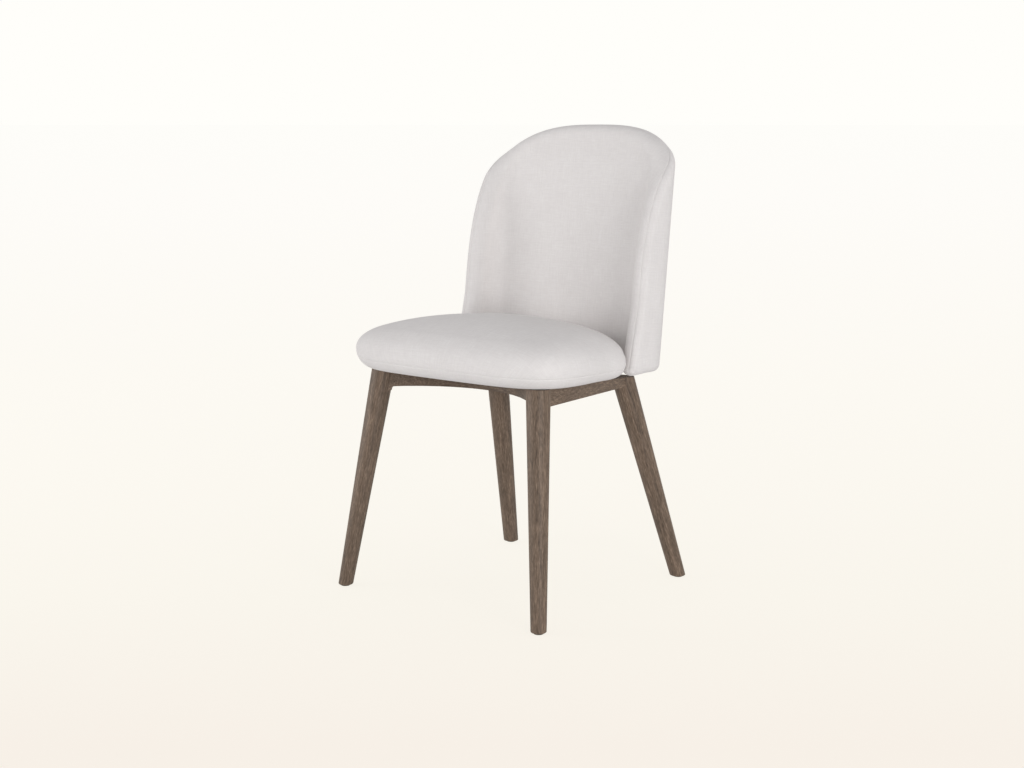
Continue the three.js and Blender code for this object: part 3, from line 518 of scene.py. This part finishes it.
def round_low_edges(piece, height, radius, steps):
    """Rounds the edges that lie wholly below a height."""
    pick(piece)
    bpy.ops.object.mode_set(mode="EDIT")
    bpy.ops.mesh.select_mode(type="EDGE")
    bpy.ops.mesh.select_all(action="DESELECT")
    mesh = bmesh.from_edit_mesh(piece.data)
    for edge in mesh.edges:
        edge.select = all(vertex.co.z < height for vertex in edge.verts)
    bmesh.update_edit_mesh(piece.data)
    bpy.ops.mesh.bevel(offset=radius, segments=steps, profile=ROUND_PROFILE)
    bpy.ops.object.mode_set(mode="OBJECT")


def from_seat_frame(points):
    """From the seat frame's own axes, which lean back, to the chair's."""
    x, y, z = points.T
    c, s = math.cos(FRAME_TILT), math.sin(FRAME_TILT)
    return np.stack([x, SHIFT + FRAME_ORIGIN_DEPTH + y * c + z * s, FRAME_TOP - y * s + z * c], axis=1)


# Legs

def add_leg(name, foot, lean, radii, cut):
    """Pulled up from a squarish sole ring along its leaning axis and planed off under the seat."""
    def axis_at(height):
        return (foot[0] + lean[0] * height, foot[1] + lean[1] * height, height)

    foot_radius, top_radius = radii
    rise = FRAME_TOP + LEG_OVERRUN - SOLE_HEIGHT
    end = SOLE_HEIGHT + rise
    pick()
    bpy.ops.mesh.primitive_circle_add(vertices=LEG_SIDES, radius=foot_radius, fill_type="NGON",
                                      location=axis_at(SOLE_HEIGHT))
    leg = bpy.context.object
    leg.name = name
    for vertex in leg.data.vertices:
        share = np.abs(np.array(vertex.co[:2]) / foot_radius)
        vertex.co *= float((share ** LEG_SQUARENESS).sum() ** (-1 / LEG_SQUARENESS))
    bpy.ops.object.transform_apply(location=True, rotation=True, scale=True)
    bpy.ops.object.mode_set(mode="EDIT")
    bpy.ops.mesh.select_all(action="SELECT")
    bpy.ops.mesh.extrude_region_move(
        TRANSFORM_OT_translate={"value": (lean[0] * rise, lean[1] * rise, rise)})
    spread = (foot_radius + (top_radius - foot_radius) * end / FRAME_TOP) / foot_radius
    bpy.ops.transform.resize(value=(spread, spread, 1), center_override=axis_at(end))
    frame_up = Vector((0, math.sin(FRAME_TILT), math.cos(FRAME_TILT)))
    plane = Vector((0, SHIFT + FRAME_ORIGIN_DEPTH, FRAME_TOP)) - frame_up * TOUCH_GAP
    bpy.ops.mesh.select_all(action="SELECT")
    bpy.ops.mesh.bisect(plane_co=plane, plane_no=frame_up, use_fill=True, clear_outer=True)
    bpy.ops.mesh.select_all(action="SELECT")
    bpy.ops.mesh.normals_make_consistent(inside=False)
    bpy.ops.object.mode_set(mode="OBJECT")
    round_low_edges(leg, SOLE_HEIGHT + TOUCH_GAP, FOOT_ROUND, FOOT_ROUND_STEPS)
    smooth(leg, LEG_SMOOTH_ANGLE)
    lay_grain(leg, (*foot, 0), (*lean, 1), cut)
    dress(leg, walnut, "walnut", name.replace("wood_", ""))


def add_legs():
    for side, hand in ((-1, "left"), (1, "right")):
        front_foot = (side * FRONT_FOOT_OUT, SHIFT - FRONT_FOOT_FORWARD)
        front_lean = (-side * math.tan(FRONT_SPLAY_SIDE), math.tan(FRONT_SPLAY_FORE))
        front_cut = FRONT_LEG_CUT[0] + side * FRONT_LEG_CUT[1]
        add_leg(f"wood_leg_front_{hand}", front_foot, front_lean, FRONT_LEG_RADII, front_cut)
        rear_foot = (side * REAR_FOOT_OUT, SHIFT + REAR_FOOT_BACK)
        rear_lean = (-side * math.tan(REAR_SPLAY_SIDE), -math.tan(REAR_SPLAY_AFT))
        rear_cut = REAR_LEG_CUT[0] + side * REAR_LEG_CUT[1]
        add_leg(f"wood_leg_rear_{hand}", rear_foot, rear_lean, REAR_LEG_RADII, rear_cut)


# Rails: the CAD's own shapes with their edges eased

def add_rail(node, along, cut):
    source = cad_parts[node]
    rail = bpy.data.objects.new(f"wood_{node}", source.data.copy())
    bpy.context.scene.collection.objects.link(rail)
    pick(rail)
    if rail.data.has_custom_normals:
        bpy.ops.mesh.customdata_custom_splitnormals_clear()
    bpy.ops.object.mode_set(mode="EDIT")
    bpy.ops.mesh.select_all(action="SELECT")
    bpy.ops.mesh.remove_doubles(threshold=MERGE_DISTANCE)
    bpy.ops.mesh.dissolve_limited(angle_limit=FLAT_ANGLE)
    bpy.ops.object.mode_set(mode="OBJECT")
    bevel = rail.modifiers.new("eased_edges", "BEVEL")
    bevel.width = RAIL_ROUND
    bevel.segments = RAIL_ROUND_STEPS
    bevel.angle_limit = RAIL_EDGE_ANGLE
    bevel.use_clamp_overlap = True
    apply_modifiers(rail)
    smooth(rail, SMOOTH_ANGLE)
    low, high = (Vector(corner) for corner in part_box(node))
    lay_grain(rail, (low + high) / 2, along, cut)
    dress(rail, walnut, "walnut", node)


def add_rails():
    rails = (("rail_front", CROSS_RAIL_ALONG), ("rail_rear", CROSS_RAIL_ALONG),
             ("rail_left", SIDE_RAIL_ALONG), ("rail_right", SIDE_RAIL_ALONG))
    for number, (node, along) in enumerate(rails):
        add_rail(node, along, RAIL_CUT[0] + number * RAIL_CUT[1])


# Glides

def add_glide(name):
    low, high = (Vector(corner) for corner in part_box(name))
    middle = (low + high) / 2
    pick()
    bpy.ops.mesh.primitive_cylinder_add(vertices=GLIDE_SIDES, radius=GLIDE_RADIUS, depth=GLIDE_THICKNESS,
                                        location=(middle.x, middle.y, GLIDE_THICKNESS / 2))
    glide = bpy.context.object
    glide.name = f"pad_{name}"
    bpy.ops.object.transform_apply(location=True, rotation=True, scale=True)
    round_low_edges(glide, GLIDE_THICKNESS / 2, GLIDE_ROUND, GLIDE_ROUND_STEPS)
    smooth(glide, SMOOTH_ANGLE)
    dress(glide, plain_finishes["nylon"], "nylon", name)


# Covers

class Cover:
    """The points of a cover, with the same points laid flat and how firmly each one is held."""

    def __init__(self):
        self.points = []
        self.flat = []
        self.held = []

    def count(self):
        return sum(len(block) for block in self.points)

    def add(self, points, flat, held):
        """Adds a ring or a grid of points, and returns their numbers in the same shape."""
        start = self.count()
        shape = points.shape[:-1]
        self.points.append(points.reshape(-1, 3))
        self.flat.append(flat.reshape(-1, 2))
        self.held.append(np.broadcast_to(held, shape).reshape(-1))
        return start + np.arange(math.prod(shape)).reshape(shape)

    def build(self, name, faces, place=None):
        """Makes the cushion. A place function moves the points to where they belong."""
        points = np.concatenate(self.points)
        flat = np.concatenate(self.flat)
        piece = mesh_piece(name, place(points) if place else points, faces)
        uv = piece.data.uv_layers.new(name="cloth")
        for loop in piece.data.loops:
            uv.data[loop.index].uv = flat[loop.vertex_index]
        held = np.concatenate(self.held)
        swell_cover(piece, held)
        finer = piece.modifiers.new("finer", "SUBSURF")
        finer.levels = 1
        finer.render_levels = 1
        apply_modifiers(piece)
        smooth(piece)
        return piece


def swell_cover(piece, held):
    """Swells the cover's free part by a cloth simulation, and caps how far each point moves."""
    before = coordinates(piece)
    group = piece.vertex_groups.new(name="sewn")
    for index, weight in enumerate(held):
        if weight > 0:
            group.add([index], float(weight), "REPLACE")
    cloth = piece.modifiers.new("filling", "CLOTH")
    cloth.settings.vertex_group_mass = "sewn"
    cloth.settings.use_pressure = True
    cloth.settings.uniform_pressure_force = COVER_PRESSURE
    cloth.settings.effector_weights.gravity = 0
    cloth.settings.quality = COVER_QUALITY
    cloth.point_cache.frame_end = COVER_FRAMES
    for number in range(1, COVER_FRAMES + 1):
        bpy.context.scene.frame_set(number)
    apply_modifiers(piece)
    bpy.context.scene.frame_set(1)
    piece.vertex_groups.clear()
    move = even_out(piece, coordinates(piece) - before, held)
    length = np.linalg.norm(move, axis=1, keepdims=True)
    capped = move * COVER_TRAVEL * np.tanh(length / COVER_TRAVEL) / np.maximum(length, LEAST_MOVE)
    piece.data.vertices.foreach_set("co", (before + capped).ravel())
    piece.data.update()


def even_out(piece, move, held):
    """Averages each point's move with its neighbours' moves, which takes out small wrinkles."""
    ends = np.empty(len(piece.data.edges) * 2, dtype=int)
    piece.data.edges.foreach_get("vertices", ends)
    first, second = ends.reshape(-1, 2).T
    neighbours = np.bincount(ends, minlength=len(move))[:, None]
    free = (held < 1)[:, None]
    for _ in range(WRINKLE_ROUNDS):
        total = np.zeros_like(move)
        np.add.at(total, first, move[second])
        np.add.at(total, second, move[first])
        move = np.where(free, (move + total / neighbours) / 2, 0)
    return move


def coordinates(piece):
    flat = np.empty(len(piece.data.vertices) * 3)
    piece.data.vertices.foreach_get("co", flat)
    return flat.reshape(-1, 3)


def ring_quads(first, second):
    """The points of each quad between two closed rings, as [first, its next, second, its next]."""
    return zip(first, np.roll(first, -1), second, np.roll(second, -1))


def grid_faces(ids):
    quads = np.stack([ids[:-1, :-1], ids[:-1, 1:], ids[1:, 1:], ids[1:, :-1]], axis=-1)
    return [tuple(quad) for quad in quads.reshape(-1, 4)]


def superellipse(angle, squareness):
    c, s = np.cos(angle), np.sin(angle)
    power = 2 / squareness
    return np.sign(c) * np.abs(c) ** power, np.sign(s) * np.abs(s) ** power


# Seat

def seat_outline(angles, inset, shrink=0):
    """The pad's outline in plan at an inset, drawn together towards its highest point by a share."""
    front = np.sin(angles) < 0
    c_front, s_front = superellipse(angles, SEAT_FRONT_SQUARENESS)
    c_rear, s_rear = superellipse(angles, SEAT_REAR_SQUARENESS)
    c = np.where(front, c_front, c_rear)
    s = np.where(front, s_front, s_rear)
    taper = ((s + 1) / 2) ** SEAT_TAPER_POWER
    half_width = (SEAT_FRONT_WIDTH + (SEAT_REAR_WIDTH - SEAT_FRONT_WIDTH) * taper) / 2 - inset
    bow = np.where(front, -SEAT_FRONT_BOW * c ** 2 * s, 0)
    centre = (SEAT_REAR - SEAT_FRONT) / 2 - FRAME_ORIGIN_DEPTH - SEAT_CROWN_FORWARD * shrink
    depth = s * ((SEAT_REAR + SEAT_FRONT) / 2 - inset) + bow
    return c * half_width * (1 - shrink), centre + depth * (1 - shrink)


def even_angles(count):
    """Angles whose points lie evenly along the pad's outline."""
    fine = np.linspace(0, 2 * math.pi, OUTLINE_SAMPLES)
    x, y = seat_outline(fine, 0)
    walked = np.concatenate([[0], np.cumsum(np.hypot(np.diff(x), np.diff(y)))])
    return np.interp(np.arange(count) / count * walked[-1], walked, fine)


def at_height(x, y, height):
    return np.stack([x, y, np.full_like(x, height)], axis=1)


def square_walk(half):
    """Places along the edge of a square grid, from the middle of its right side, as [column, row]."""
    if half == 0:
        return [(0, 0)]
    walk = [(half, row) for row in range(0, half)]
    walk += [(column, half) for column in range(half, -half, -1)]
    walk += [(-half, row) for row in range(half, -half, -1)]
    walk += [(column, -half) for column in range(-half, half)]
    return walk + [(half, row) for row in range(-half, 0)]


def middle_grid(angles, inset, start_shrink, height_at, ring_ids, first_id):
    """Closes a ring with squares that shrink to its middle, so that no pole has many edges."""
    half = len(angles) // 8
    ids = dict(zip(square_walk(half), ring_ids))
    points = []
    walked = np.arange(len(angles) + 1)
    turns = np.append(angles, angles[0] + 2 * math.pi)
    for level in range(half - 1, -1, -1):
        walk = square_walk(level)
        shrink = 1 - (1 - start_shrink) * level / half
        places = np.interp(np.arange(len(walk)) / len(walk) * len(angles), walked, turns)
        x, y = seat_outline(places, inset, shrink)
        for place, x_value, y_value in zip(walk, x, y):
            ids[place] = first_id + len(points)
            points.append((x_value, y_value, height_at(shrink)))
    faces = [(ids[c, r], ids[c + 1, r], ids[c + 1, r + 1], ids[c, r + 1])
             for c in range(-half, half) for r in range(-half, half)]
    return np.array(points), faces


def crown_rise(share):
    return SEAT_CROWN * (1 - (1 - share) ** 2)


def seat_profile():
    """Rings from the middle of the underside to the crown, as [inset, height, shrink, held]."""
    seam_angle = math.acos(1 - SEAT_SEAM_HEIGHT / SEAT_EDGE_HEIGHT)
    groove = GROOVE_HALF_WIDTH / SEAT_EDGE_HEIGHT

    def lower(angle, sunk=0):
        return [SEAT_TUCK * (1 - math.sin(angle)) + sunk,
                SEAT_EDGE_HEIGHT - (SEAT_EDGE_HEIGHT - TOUCH_GAP) * math.cos(angle), 0]

    under = SEAT_TUCK + SEAT_TURN_UNDER
    rings = [[under, TOUCH_GAP + COVER_THICKNESS, 0, 1], [under, TOUCH_GAP, 0, 1],
             [under - SEAT_TURN_UNDER / 2, TOUCH_GAP, 0, 1]]
    rings += [[*lower(share * (seam_angle - groove)), 1] for share in np.linspace(0, 1, BAND_RINGS)]
    rings += [[*lower(seam_angle, GROOVE_DEPTH), 1]]
    rings += [[*lower(seam_angle + groove + share * (90 * DEGREE - seam_angle - groove)), 1 - share]
              for share in np.linspace(0, 1, ABOVE_SEAM_RINGS)]
    for share in np.linspace(0, 1, SHOULDER_RINGS + 1)[1:]:
        angle = share * SEAT_SHOULDER_TURN
        rings.append([SEAT_SHOULDER_WIDTH * (1 - math.cos(angle)),
                      SEAT_EDGE_HEIGHT + SEAT_SHOULDER_RISE * math.sin(angle), 0, 0])
    inset, height = rings[-1][:2]
    for share in np.linspace(0, CROWN_RINGS_SHARE, CROWN_RINGS + 1)[1:]:
        rings.append([inset, height + crown_rise(share), share, 0])
    return rings


def swell_sides(points):
    """The seat's sides bulge just in front of the wings."""
    x, y, z = points.T
    away = (y - SHIFT - SWELL_DEPTH) / SWELL_LENGTH
    side = np.clip((np.abs(x) - SWELL_FROM) / (SEAT_FRONT_WIDTH / 2 - SWELL_FROM), 0, 1)
    low = 1 + LOW_SWELL_SHARE * (1 - np.clip((z - FRAME_TOP) / SEAT_EDGE_HEIGHT, 0, 1))
    x = x + np.sign(x) * SIDE_SWELL * np.exp(-away ** 2) * side * low
    return np.stack([x, y, z], axis=1)


def press_sides(points):
    """The wings press the seat's sides in, round their front edges and behind them."""
    x, y, z = points.T
    tip_depth = SHIFT + WING_TIP_DEPTH + (z - FRAME_TOP) * WING_TIP_LEAN
    radius = BACK_EDGE_RADIUS + PRESS_GAP
    ahead = tip_depth + BACK_EDGE_RADIUS - y
    half_chord = np.sqrt(np.clip(radius ** 2 - np.clip(ahead, 0, radius) ** 2, 0, None))
    limit = WING_INNER + BACK_EDGE_RADIUS - half_chord + np.clip(ahead - radius, 0, None) * PRESS_SLOPE
    return np.stack([np.sign(x) * np.minimum(np.abs(x), limit), y, z], axis=1)


def add_seat_cushion():
    angles = even_angles(SEAT_SIDES)
    rings = seat_profile()
    crown_start = max(i for i, ring in enumerate(rings) if ring[2] == 0)
    crown_inset, crown_height = rings[crown_start][:2]
    lengths = np.zeros(len(rings))
    for i in range(crown_start - 1, -1, -1):
        (inset, height), (above_inset, above_height) = rings[i][:2], rings[i + 1][:2]
        lengths[i] = lengths[i + 1] + math.hypot(inset - above_inset, height - above_height)
    cover = Cover()
    ids = []
    for (inset, height, shrink, held), length in zip(rings, lengths):
        points = at_height(*seat_outline(angles, inset, shrink), height)
        flat = seat_outline(angles, inset if shrink else crown_inset - length, shrink)
        ids.append(cover.add(points, np.stack(flat, axis=1), held))
    faces = [(a, b, d, c) for pair in zip(ids, ids[1:]) for a, b, c, d in ring_quads(*pair)]
    top, top_faces = middle_grid(angles, crown_inset, rings[-1][2],
                                 lambda share: crown_height + crown_rise(share), ids[-1], cover.count())
    cover.add(top, top[:, :2], 0)
    under, under_faces = middle_grid(angles, rings[0][0], 0, lambda share: rings[0][1], ids[0],
                                     cover.count())
    cover.add(under, under[:, :2], 1)
    faces += top_faces + [face[::-1] for face in under_faces]
    seat = cover.build("seat_cushion", faces,
                       lambda points: press_sides(swell_sides(from_seat_frame(points))))
    dress(seat, linen, "linen", "seat_cover_top", "seat_cover_band", "seat_foam")


# Back

def bend_path():
    """Plan of the back's middle surface, walked along the girth, as girth, x, forward and angle."""
    reach = round(BACK_HALF_GIRTH * BEND_REACH_SHARE / BEND_STEP)
    girth = np.arange(-reach, reach + 1) * BEND_STEP
    bend_end = BACK_ARC_GIRTH + WING_BEND_RADIUS * WING_BEND_ANGLE
    curvature = np.where(np.abs(girth) < BACK_ARC_GIRTH, 1 / BACK_ARC_RADIUS,
                         np.where(np.abs(girth) < bend_end, 1 / WING_BEND_RADIUS, 0))
    angle = np.cumsum(curvature) * BEND_STEP
    angle -= angle[reach]
    x = np.cumsum(np.cos(angle)) * BEND_STEP
    forward = np.cumsum(np.sin(angle)) * BEND_STEP
    return girth, x - x[reach], forward - forward[reach], angle


def ease_path(girth, x, forward):
    """The same path with each place averaged over a stretch of it, which rounds the bends."""
    weights = np.hanning(round(BEND_EASE / BEND_STEP) // 2 * 2 + 1)
    weights /= weights.sum()
    x = np.convolve(x, weights, mode="same")
    forward = np.convolve(forward, weights, mode="same")
    return girth, x, forward, np.arctan2(np.gradient(forward), np.gradient(x))


plain_bend = bend_path()
eased_bend = ease_path(*plain_bend[:3])

# Closer together where the wings bend
column_shares = np.sin(np.linspace(-1, 1, BACK_COLUMNS + 1) * COLUMN_SPREAD) / math.sin(COLUMN_SPREAD)


def bend_at(girth, out):
    """The rear keeps the shell's own bend, and the padding in front eases it."""
    ease_share = np.clip(out / (BACK_THICKNESS / 2), 0, 1)
    return [np.interp(girth, plain_bend[0], plain) * (1 - ease_share)
            + np.interp(girth, eased_bend[0], eased) * ease_share
            for plain, eased in zip(plain_bend[1:], eased_bend[1:])]


def back_points(girth, rise, out):
    """Girth runs round the bend, rise up the recline, and out is the distance in front of the middle."""
    x, forward, angle = bend_at(girth, out)
    ahead = forward + out * np.cos(angle)
    c, s = math.cos(BACK_RECLINE), math.sin(BACK_RECLINE)
    depth = SHIFT + BACK_BASE_DEPTH + rise * s - ahead * c
    return np.stack([x - out * np.sin(angle), depth, BACK_BOTTOM + rise * c + ahead * s], axis=-1)


def arch_outline(inset, low_inset):
    """Each row's half width and height, and the height of the bottom and the top line at each column."""
    def half_at(rise):
        return BACK_HALF_GIRTH - rise * BACK_SIDE_TAPER - inset

    radius = max(BACK_CORNER_RADIUS - inset, COVER_THICKNESS)
    slack = radius * (1 - math.sqrt(0.5))
    bottom_half = half_at(0)
    arch_half = half_at(BACK_STRAIGHT)
    arch_height = BACK_HEIGHT - inset - BACK_STRAIGHT
    start = low_inset + radius
    turn = np.linspace(45, 90, CORNER_POINTS)[1:-1] * DEGREE
    side = [(bottom_half - slack, low_inset + slack)]
    side += [(bottom_half - radius + radius * math.sin(a), start - radius * math.cos(a)) for a in turn]
    rows = start + (BACK_STRAIGHT - start) * np.linspace(0, 1, BACK_SIDE_ROWS)
    side += [(half_at(rise), rise) for rise in rows]
    corner = math.acos(ARCH_CORNER_SHARE ** (BACK_ARCH_SQUARENESS / 2))
    for angle in np.linspace(0, 1, BACK_ARCH_ROWS + 1)[1:] * corner:
        c, s = superellipse(angle, BACK_ARCH_SQUARENESS)
        side.append((arch_half * float(c), BACK_STRAIGHT + arch_height * float(s)))
    share = np.abs(column_shares)
    past = np.clip(share * (bottom_half - slack) - (bottom_half - radius), 0, radius)
    bottom = low_inset + radius - np.sqrt(radius ** 2 - past ** 2)
    across = share * ARCH_CORNER_SHARE
    top = BACK_STRAIGHT + arch_height * (1 - across ** BACK_ARCH_SQUARENESS) ** (1 / BACK_ARCH_SQUARENESS)
    return np.array(side), bottom, top


def padding(share, up):
    """How far the front face swells, most in its middle. The factor 4 makes the curve's top 1."""
    return (1 - share ** 2) * BACK_CROWN * 4 * up * (1 - up)


def low_edge_inset(inset, out):
    """The lower edge has a larger round behind, drawn in under the back."""
    behind = min(LOW_EDGE_RADIUS - out - BACK_THICKNESS / 2, LOW_EDGE_RADIUS)
    if behind <= 0:
        return inset
    return max(inset, LOW_EDGE_RADIUS - math.sqrt(LOW_EDGE_RADIUS ** 2 - behind ** 2))


def tip_drop(girth):
    """How far the wing tips hang below the rest of the lower edge."""
    share = np.clip((np.abs(girth) - TIP_DROP_START) / (BACK_HALF_GIRTH - TIP_DROP_START), 0, 1)
    return TIP_DROP * share ** 2 * (3 - 2 * share)


def back_face(inset, out, padded=False):
    """All points of a face, row by row, and the same points laid flat."""
    side, bottom, top = arch_outline(inset, low_edge_inset(inset, out))
    low, high = side[0, 1], side[-1, 1]
    half = side[:, :1]
    rise = side[:, 1:]
    up = (rise - low) / (high - low)
    shift = (1 - up) * (bottom - low) + up * (top - high)
    girth = column_shares * half
    swell = padding(column_shares, up) if padded else 0
    low_share = np.clip(1 - rise / BACK_STRAIGHT, 0, 1)
    drop = tip_drop(girth) * low_share ** 2
    points = back_points(girth, rise + shift - drop, out + swell)
    return points, np.stack([girth, rise + shift], axis=-1)


def border(rows):
    """The points round the edge of a grid, as a closed ring."""
    inner = rows[1:-1]
    return np.concatenate([rows[0], inner[:, -1], rows[-1][::-1], inner[:, 0][::-1]])


def edge_rings():
    """The cover's run round the edge, as [inset, out], with the seam sunk in."""
    half = BACK_THICKNESS / 2
    seam = half - BACK_SEAM_DEPTH
    front = [[BACK_EDGE_RADIUS * (1 - math.sin(a)), half - BACK_EDGE_RADIUS * (1 - math.cos(a))]
             for a in np.linspace(0, 90, FRONT_EDGE_STEPS + 1)[1:] * DEGREE]
    front += [[0, half - BACK_EDGE_RADIUS - share * (half - BACK_EDGE_RADIUS - seam - GROOVE_HALF_WIDTH)]
              for share in EDGE_WALL_SHARES]
    rear = [[BACK_REAR_EDGE_RADIUS * (1 - math.sin(a)), -half + BACK_REAR_EDGE_RADIUS * (1 - math.cos(a))]
            for a in np.linspace(90, 0, REAR_EDGE_STEPS + 1)[:-1] * DEGREE]
    rear[0][1] = min(rear[0][1], seam - GROOVE_HALF_WIDTH)
    return [*front, [GROOVE_DEPTH, seam]], rear


def held_near_edge(rows, columns):
    """How firmly the points of a grid are held: fully at its edge, and not at all further in."""
    along = np.minimum(np.arange(rows), np.arange(rows)[::-1])[:, None]
    across = np.minimum(np.arange(columns), np.arange(columns)[::-1])[None, :]
    return np.clip(1 - np.minimum(along, across) / PINNED_ROWS, 0, 1)


def add_back_cushion():
    half = BACK_THICKNESS / 2
    front, rear = edge_rings()
    cover = Cover()
    face, face_flat = back_face(BACK_EDGE_RADIUS, half, True)
    front_ids = cover.add(face, face_flat, held_near_edge(*face.shape[:2]))
    rings = [border(front_ids)]
    length = 0
    last = [BACK_EDGE_RADIUS, half]
    for inset, out in front:
        length += math.hypot(inset - last[0], out - last[1])
        last = [inset, out]
        points = border(back_face(inset, out)[0])
        flat = border(back_face(BACK_EDGE_RADIUS - length, out)[1])
        rings.append(cover.add(points, flat, 1))
    for inset, out in rear:
        points, flat = back_face(inset, out)
        rings.append(cover.add(border(points), border(flat), 1))
    rear_ids = cover.add(*back_face(BACK_REAR_EDGE_RADIUS, -half), 1)
    rings.append(border(rear_ids))
    faces = grid_faces(front_ids) + [quad[::-1] for quad in grid_faces(rear_ids)]
    faces += [(a, c, d, b) for pair in zip(rings, rings[1:]) for a, b, c, d in ring_quads(*pair)]
    back = cover.build("back_cushion", faces)
    dress(back, linen, "linen", "back_cover_front", "back_foam", "back_cover_rear")


# Dust cover

def add_dust_cover():
    """A stretched cloth under the board, inside the hem."""
    angles = even_angles(SEAT_SIDES)
    inset = SEAT_TUCK + SEAT_TURN_UNDER + DUST_COVER_IN
    x, y = seat_outline(angles, inset)
    low, high = TOUCH_GAP, TOUCH_GAP + DUST_COVER_THICKNESS
    low_ids, high_ids = np.arange(2 * SEAT_SIDES).reshape(2, SEAT_SIDES)
    faces = [(a, b, d, c) for a, b, c, d in ring_quads(low_ids, high_ids)]
    count = 2 * SEAT_SIDES
    under, under_faces = middle_grid(angles, inset, 0, lambda share: low, low_ids, count)
    top, top_faces = middle_grid(angles, inset, 0, lambda share: high, high_ids, count + len(under))
    faces += [face[::-1] for face in under_faces] + top_faces
    points = np.concatenate([at_height(x, y, low), at_height(x, y, high), under, top])
    cloth = mesh_piece("underside_cloth", from_seat_frame(points), faces)
    smooth(cloth, SMOOTH_ANGLE)
    area = abs(float(np.sum(x * np.roll(y, -1) - y * np.roll(x, -1)))) / 2
    dress(cloth, plain_finishes["dust_cloth"], "dust_cloth", "dust_cover")


# Floor, world and lamps

def background_rays(g):
    """1 for the rays that see the plain background: the camera's, mirrored ones and those let through."""
    sockets = g.node("ShaderNodeLightPath").socket.node.outputs
    camera, glossy, through = [Value(g, sockets[f"Is {kind} Ray"])
                               for kind in ("Camera", "Glossy", "Transmission")]
    return (camera + glossy + through).math("MINIMUM", 1)


def add_floor():
    pick()
    bpy.ops.mesh.primitive_plane_add(size=FLOOR_SIZE)
    floor = bpy.context.object
    floor.name = "floor"
    g = Graph("floor")
    place = g.object_place()
    away = g.node("ShaderNodeVectorMath", {"operation": "DOT_PRODUCT"},
                  {0: place, 1: (-math.sin(CAMERA_YAW), math.cos(CAMERA_YAW), 0)}, output=1)
    radius = g.node("ShaderNodeVectorMath", {"operation": "LENGTH"}, {0: place}, output=1)
    far = (away + CAMERA_TO_MIDDLE).math("MAXIMUM", radius * FLOOR_FADE_SHARE)
    colour = g.ramp(NEAR_FLOOR / far.math("MAXIMUM", NEAR_FLOOR), FLOOR_STOPS)
    glow = g.node("ShaderNodeEmission", {}, {"Color": colour, "Strength": FLOOR_GLOW})
    ground = g.node("ShaderNodeBsdfDiffuse", {}, {"Color": colour})
    seen = g.node("ShaderNodeMixShader", {}, {0: FLOOR_SHADOW_SHARE, 1: glow, 2: ground})
    bounce = g.node("ShaderNodeBsdfDiffuse", {}, {"Color": srgb(*BOUNCE_COLOUR)})
    g.surface(g.node("ShaderNodeMixShader", {}, {0: background_rays(g), 1: bounce, 2: seen}))
    floor.data.materials.append(g.material)


def set_world():
    world = bpy.data.worlds.new("studio")
    bpy.context.scene.world = world
    g = Graph("studio", world)
    ambient = g.node("ShaderNodeBackground", {}, {"Color": srgb(*AMBIENT_COLOUR), "Strength": AMBIENT})
    seen = g.node("ShaderNodeBackground", {}, {"Color": srgb(*SKY_COLOUR)})
    mixed = g.node("ShaderNodeMixShader", {}, {0: background_rays(g), 1: ambient, 2: seen})
    g.node("ShaderNodeOutputWorld", {}, {"Surface": mixed}, output=None)


def add_lamp(name, place, size, power):
    lamp = bpy.data.objects.new(name, bpy.data.lights.new(name, "AREA"))
    bpy.context.scene.collection.objects.link(lamp)
    lamp.data.size = size
    lamp.data.energy = power
    lamp.location = place
    lamp.rotation_euler = (Vector(AIM) - Vector(place)).to_track_quat("-Z", "Y").to_euler()


bpy.context.scene.view_settings.view_transform = "Standard"
set_world()
add_floor()
add_lamp("key", KEY_PLACE, KEY_SIZE, KEY_POWER)
add_lamp("fill", FILL_PLACE, FILL_SIZE, FILL_POWER)

add_legs()
add_rails()
for name in ("glide_front_left", "glide_front_right", "glide_rear_left", "glide_rear_right"):
    add_glide(name)
add_back_cushion()
add_seat_cushion()
add_dust_cover()

for name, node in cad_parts.items():
    for start, finish in CARRIED_FINISHES.items():
        if name.startswith(start):
            node.data.materials.clear()
            node.data.materials.append(plain_finishes[finish])
